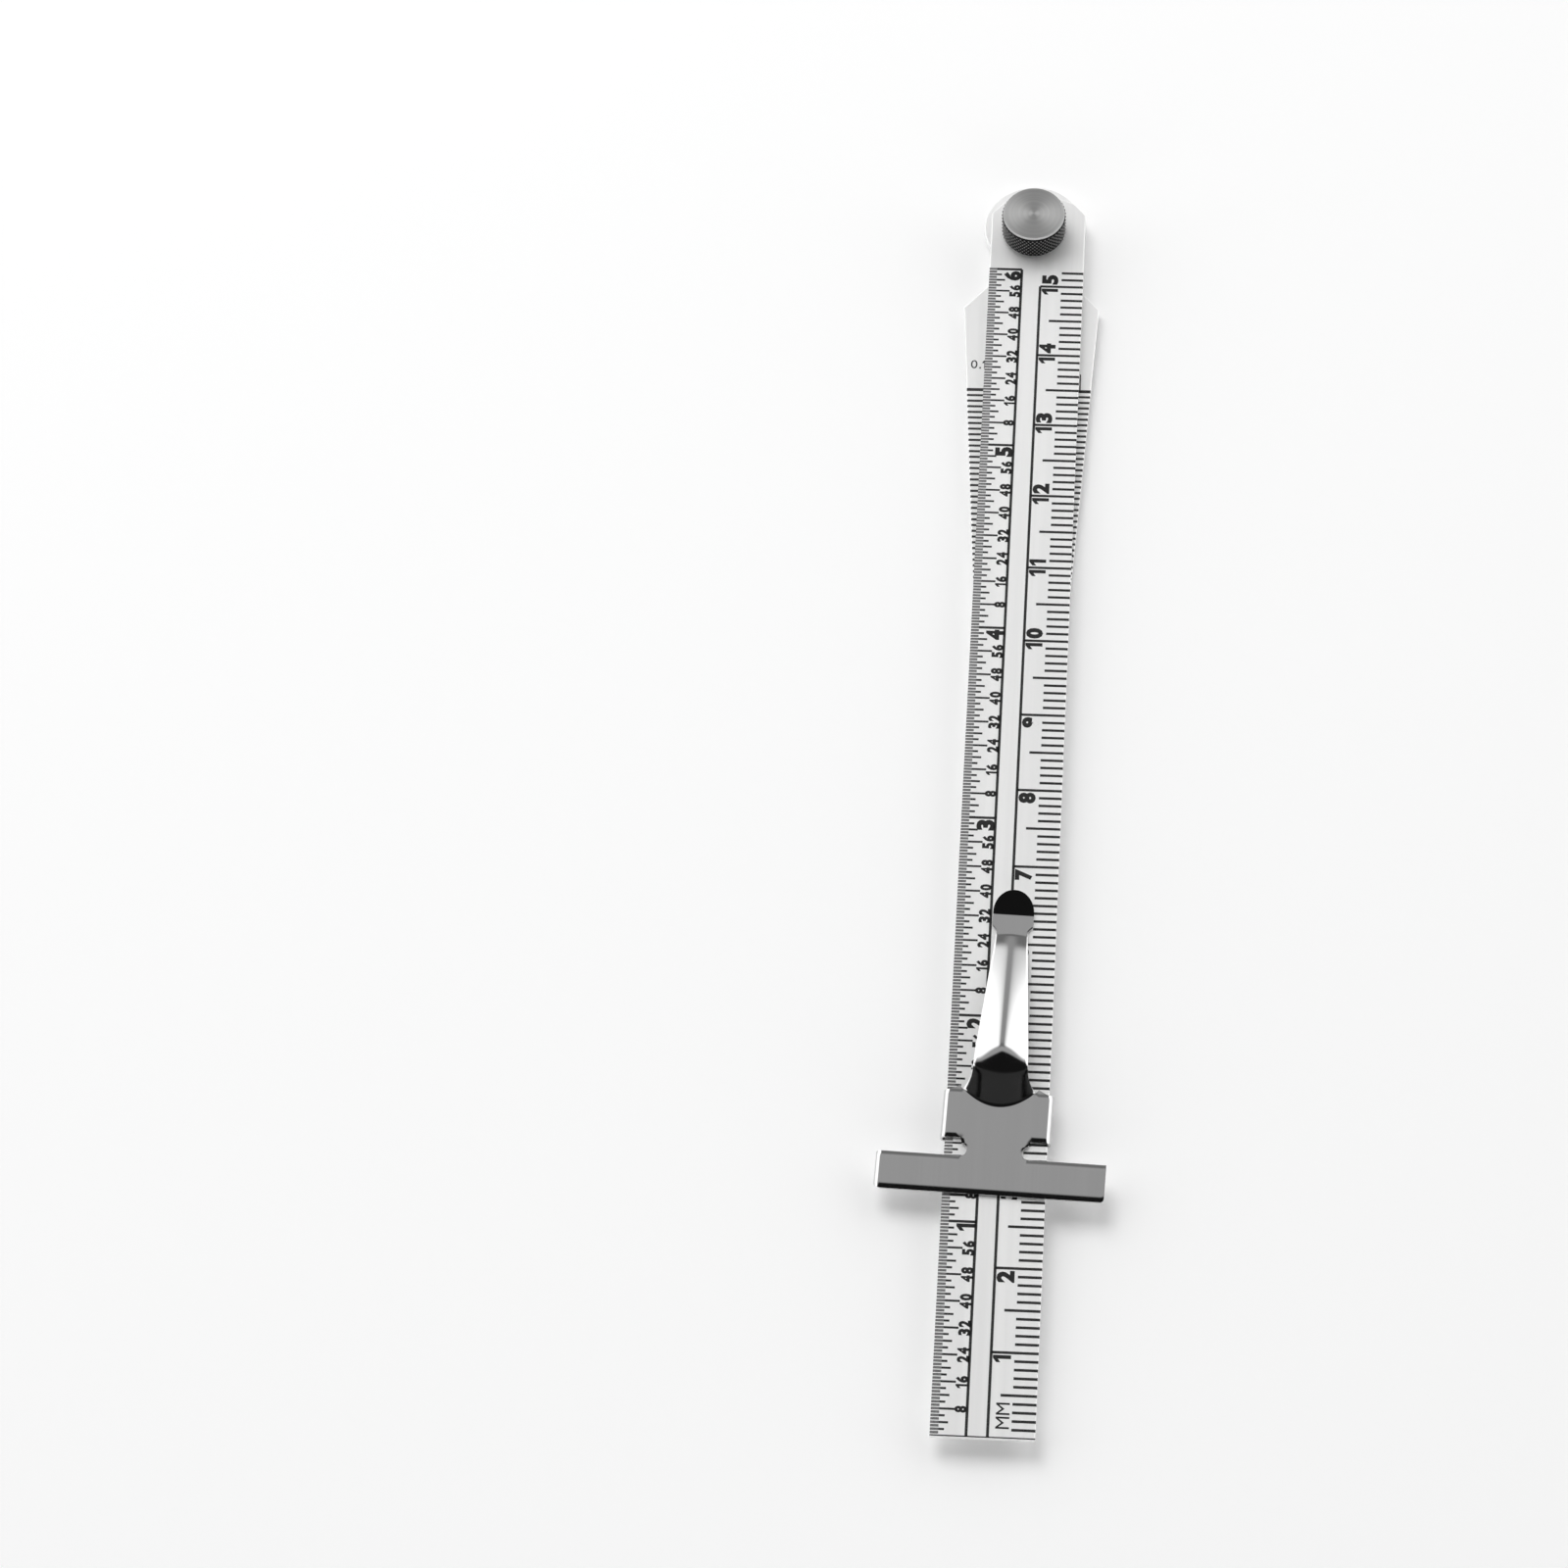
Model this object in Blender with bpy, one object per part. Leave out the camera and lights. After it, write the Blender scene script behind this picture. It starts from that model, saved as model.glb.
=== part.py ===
"""A pocket taper gauge: a rule and a taper blade on one pivot, a knurled nut and a sliding depth clip.

The gauge lies flat on the head of its pivot stud. The pivot's axis is the Z axis, and Z = 0 is the surface
that it lies on. The rule runs from the pivot towards -Y, and its zero end is the end that faces -Y.
"""

from math import asin, atan2, cos, pi, radians, sin, sqrt, tan
from typing import NamedTuple

import bmesh
import bpy
from mathutils import Vector

MM = 0.001

# Rule
RULE_WIDTH = 11.5 * MM
RULE_THICKNESS = 0.8 * MM
RULE_PIVOT_TO_ZERO = 158.0 * MM
RULE_OFFSET = 0.53 * MM
RULE_CORNER_BEYOND_PIVOT = 2.7 * MM
RULE_CHAMFER_WIDTH = 1.42 * MM
RULE_CHAMFER_LENGTH = 1.6 * MM
RULE_CROWN_HEIGHT = 1.05 * MM

# Taper blade
BLADE_THICKNESS = 0.8 * MM
BLADE_HEAD_RADIUS = 6.1 * MM
BLADE_HEAD_BEYOND_PIVOT = 1.5 * MM
BLADE_SHOULDER_FROM_PIVOT = 10.4 * MM
BLADE_SHOULDER_ANGLE = radians(42)
BLADE_NECK_RADIUS = 5.0 * MM
BLADE_TOP_MARK_FROM_PIVOT = 22.3 * MM
BLADE_TOP_MARK_WIDTH = 15.0 * MM
BLADE_TIP_WIDTH = 0.9 * MM
BLADE_TAPER = 1 / 8
BLADE_REST_ANGLE = radians(0.6)

# Pivot: the stud, the washer between the strips and the knurled nut
STUD_HEAD_DIAMETER = 9.0 * MM
STUD_HEAD_THICKNESS = 0.7 * MM
STUD_JOURNAL_DIAMETER = 4.0 * MM
STUD_THREAD_DIAMETER = 3.0 * MM
STUD_THREAD_LENGTH = 2.6 * MM
STUD_EDGE = 0.2 * MM
WASHER_DIAMETER = 8.6 * MM
NUT_DIAMETER = 8.0 * MM
NUT_HEIGHT = 4.0 * MM
NUT_FACE_DIAMETER = 7.1 * MM
NUT_TOP_CHAMFER = 0.35 * MM
NUT_FOOT_CHAMFER = 0.35 * MM
NUT_BORE_SPARE = 0.4 * MM
KNURLS_AROUND = 44
KNURL_ROWS = 8
KNURL_DEPTH = 0.2 * MM

# Depth clip, one folded sheet; lengths along it start at the working edge of its T-bar
SHEET = 0.25 * MM
BAR_LEFT_REACH = 13.2 * MM
BAR_RIGHT_REACH = 12.6 * MM
BAR_HEIGHT = 4.55 * MM
BAR_CORNER = 0.5 * MM
BAR_ROLLED_CORNER = 0.8 * MM
BAR_ROLL_ANGLE = radians(70)
NOTCH_WIDTH = 1.6 * MM
NECK_WIDTH = 6.2 * MM
BODY_LENGTH = 6.5 * MM
BODY_PEAK_RISE = 0.55 * MM
BODY_PEAK_SPACING = 8.9 * MM
LIP_WIDTH = 2.5 * MM
FOLD_INNER_RADIUS = 0.25 * MM
TONGUE_ROOT_WIDTH = 8.1 * MM
TONGUE_FLARE_LENGTH = 1.6 * MM
TONGUE_FLARE_POWER = 1.5
TONGUE_WIDE = 6.35 * MM
TONGUE_NARROW = 3.55 * MM
FOOT_BEFORE_BODY_END = 1.9 * MM
FOOT_BOW = 0.121 / MM
RAMP_ANGLE = radians(36)
RAMP_LENGTH = 3.2 * MM
FOOT_RADIUS = 1.0 * MM
CREST_RADIUS = 4.5 * MM
DESCENT_ANGLE = radians(11)
LANDING_RADIUS = 3.0 * MM
LANDING_LENGTH = 2.2 * MM
FLARE_RADIUS = 1.0 * MM
FLARE_ANGLE = radians(28)
PADDLE_RADIUS = 2.35 * MM
PADDLE_EASE = 1.0 * MM
PADDLE_STRAIGHT = 1.6 * MM
CLIP_FROM_ZERO = 28.55 * MM
CLIP_SKEW = radians(-1.8)

# Clearances
RUNNING_CLEARANCE = 0.05 * MM
SEAT_GAP = 0.05 * MM
CLIP_GAP = 0.13 * MM
CLIP_SIDE_CLEARANCE = 0.15 * MM
LIP_TO_BLADE = 0.14 * MM
TONGUE_TO_RULE = 0.05 * MM

# Fineness of the curved surfaces
ROUND_SEGMENTS = 48
ARC_STEP = radians(9)
CLIP_COLUMNS = 10
CLIP_ROW_SPACING = 2.5 * MM
NOTCH_STEPS = 8
PADDLE_STEPS = 8
CORNER_STEPS = 6
ROLL_STEPS = 5
EDGE_BREAK = 0.1 * MM
CLOSEST_ROWS = 0.04 * MM
SAME_PLACE = 0.005 * MM

# Heights, from the surface that the gauge lies on
BLADE_BOTTOM = STUD_HEAD_THICKNESS + SEAT_GAP
BLADE_TOP = BLADE_BOTTOM + BLADE_THICKNESS
RULE_BOTTOM = BLADE_TOP + LIP_TO_BLADE + SHEET + CLIP_GAP
RULE_TOP = RULE_BOTTOM + RULE_THICKNESS
NUT_FOOT = RULE_TOP + SEAT_GAP
STUD_JOURNAL_TOP = RULE_TOP - SEAT_GAP
STUD_TOP = NUT_FOOT + STUD_THREAD_LENGTH
CLIP_UNDERSIDE = RULE_TOP + CLIP_GAP


def clear_scene():
    """Remove whatever the file holds."""
    for item in list(bpy.data.objects):
        bpy.data.objects.remove(item, do_unlink=True)


def steel(name, colour, roughness):
    """A metal material with a plain colour and roughness."""
    material = bpy.data.materials.new(name)
    material.use_nodes = True
    shader = material.node_tree.nodes["Principled BSDF"]
    shader.inputs["Base Color"].default_value = (*colour, 1.0)
    shader.inputs["Roughness"].default_value = roughness
    shader.inputs["Metallic"].default_value = 1.0
    return material


def add_object(name, shape, material=None, location=(0, 0, 0)):
    """Turn a bmesh into an object of the scene."""
    mesh = bpy.data.meshes.new(name)
    shape.to_mesh(mesh)
    shape.free()
    item = bpy.data.objects.new(name, mesh)
    item.location = location
    bpy.context.scene.collection.objects.link(item)
    if material:
        mesh.materials.append(material)
    return item


def smooth(item, angle=radians(30)):
    """Shade an object smooth, with its true edges kept sharp."""
    item.data.shade_smooth()
    item.data.set_sharp_from_angle(angle=angle)


def shared_out(start, end, steps):
    """Evenly spaced values from one number to another, ends included."""
    return [start + (end - start) * step / steps for step in range(steps + 1)]


def arc_points(centre, radius, start, end):
    """Points on an arc from one angle to another, ends included."""
    angles = shared_out(start, end, max(2, round(abs(end - start) / ARC_STEP)))
    return [(centre[0] + radius * cos(angle), centre[1] + radius * sin(angle)) for angle in angles]


def mirrored(points):
    """An outline's right half, given from the bottom up, followed by its mirror image from the top down."""
    left = [(-x, y) for x, y in reversed(points) if x > SAME_PLACE]
    return points + left


def plate(outline, thickness):
    """A flat plate with this outline on Z = 0 and slightly broken edges."""
    shape = bmesh.new()
    base = shape.faces.new([shape.verts.new((x, y, 0)) for x, y in outline])
    base.normal_update()
    if base.normal.z > 0:
        base.normal_flip()
    grown = bmesh.ops.extrude_face_region(shape, geom=[base], use_keep_orig=True)["geom"]
    raised = [item for item in grown if isinstance(item, bmesh.types.BMVert)]
    bmesh.ops.translate(shape, verts=raised, vec=(0, 0, thickness))
    bmesh.ops.recalc_face_normals(shape, faces=shape.faces)
    rims = [edge for edge in shape.edges if abs(edge.verts[0].co.z - edge.verts[1].co.z) < thickness / 2]
    bmesh.ops.bevel(
        shape, geom=rims, offset=EDGE_BREAK, segments=1, profile=0.5, affect="EDGES", material=-1
    )
    return shape


def turned(profile, segments=ROUND_SEGMENTS):
    """A solid turned about Z from a profile of (radius, height) points that meets the axis or closes."""
    shape = bmesh.new()
    points = [shape.verts.new((radius, 0, height)) for radius, height in profile]
    for first, second in zip(points, points[1:]):
        shape.edges.new((first, second))
    bmesh.ops.spin(
        shape,
        geom=shape.verts[:] + shape.edges[:],
        cent=(0, 0, 0),
        axis=(0, 0, 1),
        angle=2 * pi,
        steps=segments,
        use_merge=True,
    )
    bmesh.ops.remove_doubles(shape, verts=shape.verts, dist=SAME_PLACE / 10)
    bmesh.ops.recalc_face_normals(shape, faces=shape.faces)
    return shape


def bore(item, diameter, bottom, top):
    """Cut a round hole on the pivot's axis through an object."""
    shape = bmesh.new()
    bmesh.ops.create_cone(
        shape,
        cap_ends=True,
        segments=ROUND_SEGMENTS,
        radius1=diameter / 2,
        radius2=diameter / 2,
        depth=2 * (top - bottom),
    )
    cutter = add_object(item.name + "_hole_cutter", shape, location=(0, 0, (bottom + top) / 2))
    cutter.hide_render = True
    cutter.display_type = "WIRE"
    cut = item.modifiers.new("pivot_hole", "BOOLEAN")
    cut.operation = "DIFFERENCE"
    cut.object = cutter


def rule_outline():
    """The rule's outline about its own centre line, with the zero end towards -Y."""
    half = RULE_WIDTH / 2
    crown_half = half - RULE_CHAMFER_WIDTH
    crown_foot = RULE_CORNER_BEYOND_PIVOT + RULE_CHAMFER_LENGTH
    radius = (crown_half**2 + RULE_CROWN_HEIGHT**2) / (2 * RULE_CROWN_HEIGHT)
    reach = asin(crown_half / radius)
    centre = (0, crown_foot + RULE_CROWN_HEIGHT - radius)
    crown = arc_points(centre, radius, pi / 2 - reach, pi / 2)
    return mirrored([(half, -RULE_PIVOT_TO_ZERO), (half, RULE_CORNER_BEYOND_PIVOT)] + crown)


def make_rule(material):
    """The graduated strip, with its pivot hole."""
    outline = [(x + RULE_OFFSET, y) for x, y in rule_outline()]
    rule = add_object("rule", plate(outline, RULE_THICKNESS), material, (0, 0, RULE_BOTTOM))
    bore(rule, STUD_JOURNAL_DIAMETER + 2 * RUNNING_CLEARANCE, RULE_BOTTOM, RULE_TOP)
    return rule


def blade_half_width(along):
    """Half the blade's width at a distance from the pivot towards its tip."""
    return (BLADE_TOP_MARK_WIDTH - (along - BLADE_TOP_MARK_FROM_PIVOT) * BLADE_TAPER) / 2


def blade_outline():
    """The blade's outline: tip, straight taper, shoulders, necked fillets and round head."""
    length = BLADE_TOP_MARK_FROM_PIVOT + (BLADE_TOP_MARK_WIDTH - BLADE_TIP_WIDTH) / BLADE_TAPER
    shoulder = Vector((blade_half_width(BLADE_SHOULDER_FROM_PIVOT), -BLADE_SHOULDER_FROM_PIVOT))
    flank = Vector((-sin(BLADE_SHOULDER_ANGLE), cos(BLADE_SHOULDER_ANGLE)))
    outward = Vector((cos(BLADE_SHOULDER_ANGLE), sin(BLADE_SHOULDER_ANGLE)))
    head = Vector((0, BLADE_HEAD_BEYOND_PIVOT))
    # The fillet touches the flank's line and the round head from outside, which fixes its centre
    beside_flank = shoulder + outward * BLADE_NECK_RADIUS - head
    behind = beside_flank.dot(flank)
    apart = BLADE_NECK_RADIUS + BLADE_HEAD_RADIUS
    run = -behind - sqrt(behind**2 - beside_flank.length_squared + apart**2)
    centre = head + beside_flank + flank * run
    to_head = head - centre
    fillet = arc_points(centre, BLADE_NECK_RADIUS, pi + BLADE_SHOULDER_ANGLE, atan2(to_head.y, to_head.x))
    crown = arc_points(head, BLADE_HEAD_RADIUS, atan2(-to_head.y, -to_head.x), pi / 2)
    return mirrored([(BLADE_TIP_WIDTH / 2, -length), tuple(shoulder)] + fillet + crown[1:])


def make_blade(material):
    """The taper blade under the rule, with its pivot hole."""
    blade = add_object("taper_blade", plate(blade_outline(), BLADE_THICKNESS), material, (0, 0, BLADE_BOTTOM))
    blade.rotation_euler = (0, 0, BLADE_REST_ANGLE)
    bore(blade, STUD_JOURNAL_DIAMETER + 2 * RUNNING_CLEARANCE, BLADE_BOTTOM, BLADE_TOP)
    return blade


def make_stud(material):
    """The flat-headed stud that both strips turn on, with the journal and the thread above it."""
    head = STUD_HEAD_DIAMETER / 2
    journal = STUD_JOURNAL_DIAMETER / 2
    thread = STUD_THREAD_DIAMETER / 2
    profile = [
        (0, 0),
        (head - STUD_EDGE, 0),
        (head, STUD_EDGE),
        (head, STUD_HEAD_THICKNESS),
        (journal, STUD_HEAD_THICKNESS),
        (journal, STUD_JOURNAL_TOP),
        (thread, STUD_JOURNAL_TOP),
        (thread, STUD_TOP - STUD_EDGE),
        (thread - STUD_EDGE, STUD_TOP),
        (0, STUD_TOP),
    ]
    stud = add_object("pivot_stud", turned(profile), material)
    smooth(stud)
    return stud


def make_washer(material):
    """The washer that keeps the rule off the blade, so that the clip's lips pass between them."""
    inner = STUD_JOURNAL_DIAMETER / 2 + RUNNING_CLEARANCE
    outer = WASHER_DIAMETER / 2
    bottom = BLADE_TOP + SEAT_GAP
    top = RULE_BOTTOM - SEAT_GAP
    profile = [(inner, bottom), (outer, bottom), (outer, top), (inner, top), (inner, bottom)]
    washer = add_object("spacer_washer", turned(profile), material)
    smooth(washer)
    return washer


def make_nut(material):
    """The clamping nut: a blind threaded hole, a bright face and a diamond knurl."""
    hole = STUD_THREAD_DIAMETER / 2 + RUNNING_CLEARANCE
    ceiling = STUD_TOP + NUT_BORE_SPARE
    outer = NUT_DIAMETER / 2
    knurl_bottom = NUT_FOOT + NUT_FOOT_CHAMFER
    knurl_top = NUT_FOOT + NUT_HEIGHT - NUT_TOP_CHAMFER
    rows = shared_out(knurl_bottom, knurl_top, KNURL_ROWS)[:-1]
    profile = [(0, ceiling), (hole, ceiling), (hole, NUT_FOOT), (outer - NUT_FOOT_CHAMFER, NUT_FOOT)]
    profile += [(outer, height) for height in rows]
    profile += [(outer - KNURL_DEPTH, knurl_top)]
    profile += [(NUT_FACE_DIAMETER / 2, NUT_FOOT + NUT_HEIGHT), (0, NUT_FOOT + NUT_HEIGHT)]
    shape = turned(profile, 2 * KNURLS_AROUND)
    cut_knurl(shape, outer, rows)
    nut = add_object("thumb_nut", shape, material)
    smooth(nut, radians(20))
    return nut


def cut_knurl(shape, outer, rows):
    """Press a diamond knurl into a turned band: every second point moves in, and grooves join them."""
    low = set()
    for point in shape.verts:
        radius = point.co.xy.length
        row = min(range(len(rows)), key=lambda index: abs(rows[index] - point.co.z))
        if abs(radius - outer) > KNURL_DEPTH / 10 or abs(rows[row] - point.co.z) > KNURL_DEPTH / 10:
            continue
        column = round(Vector((1, 0)).angle_signed(point.co.xy, 0) / (pi / KNURLS_AROUND))
        if (row + column) % 2:
            low.add(point)
            point.co.xy *= (outer - KNURL_DEPTH) / outer
    for face in list(shape.faces):
        ends = [point for point in face.verts if point in low]
        if len(ends) == 2 and len(face.verts) == 4:
            bmesh.utils.face_split(face, ends[0], ends[1])


class Stretch(NamedTuple):
    """A straight or a bend of the tongue's centre line; a straight has no radius."""

    start: float
    height: float
    angle: float
    radius: float


class Station(NamedTuple):
    """One row of the sheet across the clip: where its middle lies, how it bows and sags, and its width."""

    along: float
    bow: float
    height: float
    sag: float
    half: float

    def point(self, across):
        """A point of the sheet's underside on this row."""
        return Vector((across, self.along + self.bow * across**2, self.height - self.sag * across**2))

    def edge(self):
        """How far along the clip the row's ends lie."""
        return self.along + self.bow * self.half**2


class Tongue:
    """The centre line of the clip's underside, from its foot to the tip, as straights and bends."""

    def __init__(self, foot):
        self.foot = foot
        self.stretches = []
        self.along = foot
        self.height = 0.0
        self.angle = 0.0
        self.bend(RAMP_ANGLE, FOOT_RADIUS)
        self.straight(RAMP_LENGTH * cos(RAMP_ANGLE))
        self.ramp_end = self.along
        self.bend(-RAMP_ANGLE - DESCENT_ANGLE, CREST_RADIUS)
        self.crest_end = self.along
        landing = TONGUE_TO_RULE - CLIP_GAP
        drop = self.height - landing - LANDING_RADIUS * (1 - cos(DESCENT_ANGLE))
        self.straight(drop / tan(DESCENT_ANGLE))
        self.bend(DESCENT_ANGLE, LANDING_RADIUS)
        self.landing = self.along
        self.straight(LANDING_LENGTH)
        self.bend(FLARE_ANGLE, FLARE_RADIUS)
        self.straight(2 * PADDLE_RADIUS)

    def straight(self, length):
        """Go on for a length, measured in plan."""
        self.stretches.append(Stretch(self.along, self.height, self.angle, 0.0))
        self.along += length
        self.height += length * tan(self.angle)

    def bend(self, turn, radius):
        """Turn up or down by an angle at this radius."""
        radius = radius if turn > 0 else -radius
        self.stretches.append(Stretch(self.along, self.height, self.angle, radius))
        end = self.angle + turn
        self.along += radius * (sin(end) - sin(self.angle))
        self.height += radius * (cos(self.angle) - cos(end))
        self.angle = end

    def at(self, along):
        """The height and slope angle at a place in plan."""
        if along <= self.foot:
            return 0.0, 0.0
        start, height, angle, radius = [stretch for stretch in self.stretches if stretch.start <= along][-1]
        if not radius:
            return height + (along - start) * tan(angle), angle
        slope = asin(sin(angle) + (along - start) / radius)
        return height + radius * (cos(angle) - cos(slope)), slope

    def half_width(self, along):
        """Half the tongue's width: flared at its root, straight taper, then a round-ended paddle."""
        root = TONGUE_ROOT_WIDTH / 2
        wide = TONGUE_WIDE / 2
        narrow = TONGUE_NARROW / 2
        root_at = self.foot + FOOT_BOW * root**2
        paddle = self.landing + PADDLE_EASE
        centre = paddle + PADDLE_STRAIGHT
        if along < self.landing:
            taper = wide - (wide - narrow) * (along - root_at) / (self.landing - root_at)
            flare = max(0.0, 1 - (along - root_at) / TONGUE_FLARE_LENGTH)
            return taper + (root - wide) * flare**TONGUE_FLARE_POWER
        if along < paddle:
            share = (along - self.landing) / PADDLE_EASE
            return narrow + (PADDLE_RADIUS - narrow) * share**2 * (3 - 2 * share)
        return sqrt(max(0.0, PADDLE_RADIUS**2 - max(0.0, along - centre) ** 2))


def clip_half_width(along, tongue):
    """Half the width of the clip's middle strip: bar, notched neck, body and tongue, by the place in plan."""
    notch = NOTCH_WIDTH / 2
    body = BAR_HEIGHT + NOTCH_WIDTH
    notch_centre = NECK_WIDTH / 2 + notch
    root = TONGUE_ROOT_WIDTH / 2
    root_at = tongue.foot + FOOT_BOW * root**2
    if along <= BAR_HEIGHT:
        return notch_centre
    if along < body:
        return notch_centre - sqrt(max(0.0, notch**2 - (along - BAR_HEIGHT - notch) ** 2))
    if along <= root_at:
        return notch_centre + (root - notch_centre) * (along - body) / (root_at - body)
    return tongue.half_width(along)


def clip_station(along, tongue):
    """The row of the sheet whose middle lies at this place in plan."""
    body = BAR_HEIGHT + NOTCH_WIDTH
    height, slope = tongue.at(along)
    over_crest = (along - tongue.ramp_end) / (tongue.crest_end - tongue.ramp_end)
    to_landing = (along - tongue.ramp_end) / (tongue.landing - tongue.ramp_end)
    if along <= tongue.foot:
        bow = FOOT_BOW * max(0.0, (along - body) / (tongue.foot - body))
        crown = 0.0
    elif along <= tongue.ramp_end:
        bow = FOOT_BOW
        crown = FOOT_BOW * tan(slope)
    else:
        bow = FOOT_BOW * max(0.0, 1 - over_crest)
        crown = FOOT_BOW * tan(RAMP_ANGLE) * max(0.0, 1 - to_landing)
    half = clip_half_width(along, tongue)
    for _ in range(4):
        half = clip_half_width(along + bow * half**2, tongue)
    return Station(along, bow, height, crown - bow * tan(slope), half)


def clip_stations(tongue):
    """All rows of the middle strip, from the bar's working edge to the tongue's tip."""
    body = BAR_HEIGHT + NOTCH_WIDTH
    notch = NOTCH_WIDTH / 2
    places = [0.0, BAR_HEIGHT / 2]
    places += [BAR_HEIGHT + notch * (1 - cos(angle)) for angle in shared_out(0, pi, NOTCH_STEPS)]
    places += shared_out(body, tongue.foot, 3)
    for stretch, following in zip(tongue.stretches, tongue.stretches[1:]):
        if stretch.radius:
            steps = round(abs(following.angle - stretch.angle) / ARC_STEP)
        else:
            steps = round((following.start - stretch.start) / CLIP_ROW_SPACING)
        places += shared_out(stretch.start, following.start, max(1, steps))
    paddle = tongue.landing + PADDLE_EASE
    round_end = paddle + PADDLE_STRAIGHT
    places += shared_out(tongue.landing, paddle, 4)
    places += [round_end + PADDLE_RADIUS * sin(angle) for angle in shared_out(0, pi / 2, PADDLE_STEPS)]
    rows = []
    for place in sorted(places):
        if not rows or place - rows[-1] > CLOSEST_ROWS:
            rows.append(place)
    return [clip_station(place, tongue) for place in rows]


def extend(shape, column, places):
    """Extrude the edges along a column of points, and put the new points at these places."""
    edges = [shape.edges.get((first, second)) for first, second in zip(column, column[1:])]
    grown = bmesh.ops.extrude_edge_only(shape, edges=edges)["geom"]
    fresh = {item for item in grown if isinstance(item, bmesh.types.BMVert)}
    result = []
    for point, place in zip(column, places):
        twin = next(edge.other_vert(point) for edge in point.link_edges if edge.other_vert(point) in fresh)
        twin.co = place
        result.append(twin)
    return result


def fold_section():
    """The fold round one edge of the rule, as (across, height) points of the underside, from flat to lip."""
    half = RULE_WIDTH / 2 + CLIP_SIDE_CLEARANCE
    depth = RULE_THICKNESS + 2 * CLIP_GAP
    radius = FOLD_INNER_RADIUS
    upper = arc_points((half - radius, -radius), radius, pi / 2, 0)
    lower = arc_points((half - radius, radius - depth), radius, 0, -pi / 2)
    return upper + lower + [(half - LIP_WIDTH, -depth)]


def add_body_side(shape, column, stations, side):
    """Grow one side of the body from the middle strip: the peak by the tongue, then the fold and the lip."""
    body_end = BAR_HEIGHT + NOTCH_WIDTH + BODY_LENGTH
    peak = [(BODY_PEAK_SPACING / 2, 0.0, body_end + BODY_PEAK_RISE)]
    fold = [(across, height, body_end) for across, height in fold_section()]
    for across, height, end in peak + fold:
        places = [Vector((side * across, station.edge(), height)) for station in stations]
        places[-1].y = end
        column = extend(shape, column, places)


def arm_stops(length, corner, roll_start):
    """Places along an arm of the bar where it gets a row: finely over its corner and its roll."""
    stops = [length - corner * (1 - sin(angle)) for angle in shared_out(0, pi / 2, CORNER_STEPS)]
    if roll_start < length:
        stops += shared_out(roll_start, length, ROLL_STEPS)
    kept = []
    for stop in sorted(stops):
        if not kept or stop - kept[-1] > CLOSEST_ROWS / 2:
            kept.append(stop)
    return kept


def add_bar_side(shape, column, side, full_reach, corner, roll):
    """Grow one arm of the T-bar with a rounded lower corner, and with its end rolled down by an angle."""
    radius = FOLD_INNER_RADIUS
    roll_start = full_reach - (radius + SHEET) * sin(roll)
    length = roll_start + radius * roll
    for stop in arm_stops(length, corner, roll_start):
        past = max(0.0, stop - (length - corner))
        low = corner - sqrt(max(0.0, corner**2 - past**2))
        turn = max(0.0, stop - roll_start) / radius
        across = min(stop, roll_start) + radius * sin(turn)
        height = -radius * (1 - cos(turn))
        lows = shared_out(low, BAR_HEIGHT, len(column) - 1)
        column = extend(shape, column, [Vector((side * across, place, height)) for place in lows])


def make_clip(material):
    """The depth clip: one sheet, folded round both edges of the rule and drawn up into a sprung tongue."""
    body = BAR_HEIGHT + NOTCH_WIDTH
    tongue = Tongue(body + BODY_LENGTH - FOOT_BEFORE_BODY_END)
    stations = clip_stations(tongue)
    last = len(stations) - 1
    shape = bmesh.new()
    bmesh.ops.create_grid(shape, x_segments=CLIP_COLUMNS, y_segments=last, size=1)
    sides = {-1: {}, 1: {}}
    for point in shape.verts:
        share = point.co.x
        row = round((point.co.y + 1) / 2 * last)
        if abs(share) > 1 - 1 / CLIP_COLUMNS:
            sides[round(share)][row] = point
        point.co = stations[row].point(share * stations[row].half)
    bar_rows = [row for row in range(last) if stations[row].along < BAR_HEIGHT + SAME_PLACE]
    foot_row = max(row for row in range(last) if stations[row].along < tongue.foot + SAME_PLACE)
    body_rows = [row for row in range(foot_row + 1) if stations[row].along > body - SAME_PLACE]
    for side, edge in sides.items():
        add_body_side(shape, [edge[row] for row in body_rows], [stations[row] for row in body_rows], side)
    left = [sides[-1][row] for row in bar_rows]
    right = [sides[1][row] for row in bar_rows]
    add_bar_side(shape, left, -1, BAR_LEFT_REACH, BAR_ROLLED_CORNER, BAR_ROLL_ANGLE)
    add_bar_side(shape, right, 1, BAR_RIGHT_REACH, BAR_CORNER, 0.0)
    bmesh.ops.remove_doubles(shape, verts=shape.verts, dist=SAME_PLACE)
    bmesh.ops.recalc_face_normals(shape, faces=shape.faces)
    if max(shape.faces, key=lambda face: face.calc_center_median().z).normal.z < 0:
        bmesh.ops.reverse_faces(shape, faces=shape.faces)
    centre = body + BODY_LENGTH / 2
    bmesh.ops.translate(shape, verts=shape.verts, vec=(0, -centre, 0))
    place = (RULE_OFFSET, CLIP_FROM_ZERO + centre - RULE_PIVOT_TO_ZERO, CLIP_UNDERSIDE)
    clip = add_object("depth_clip", shape, material, place)
    clip.rotation_euler = (0, 0, CLIP_SKEW)
    wall = clip.modifiers.new("sheet", "SOLIDIFY")
    wall.thickness = SHEET
    wall.offset = 1
    wall.use_even_offset = True
    smooth(clip, radians(50))
    return clip


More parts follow.
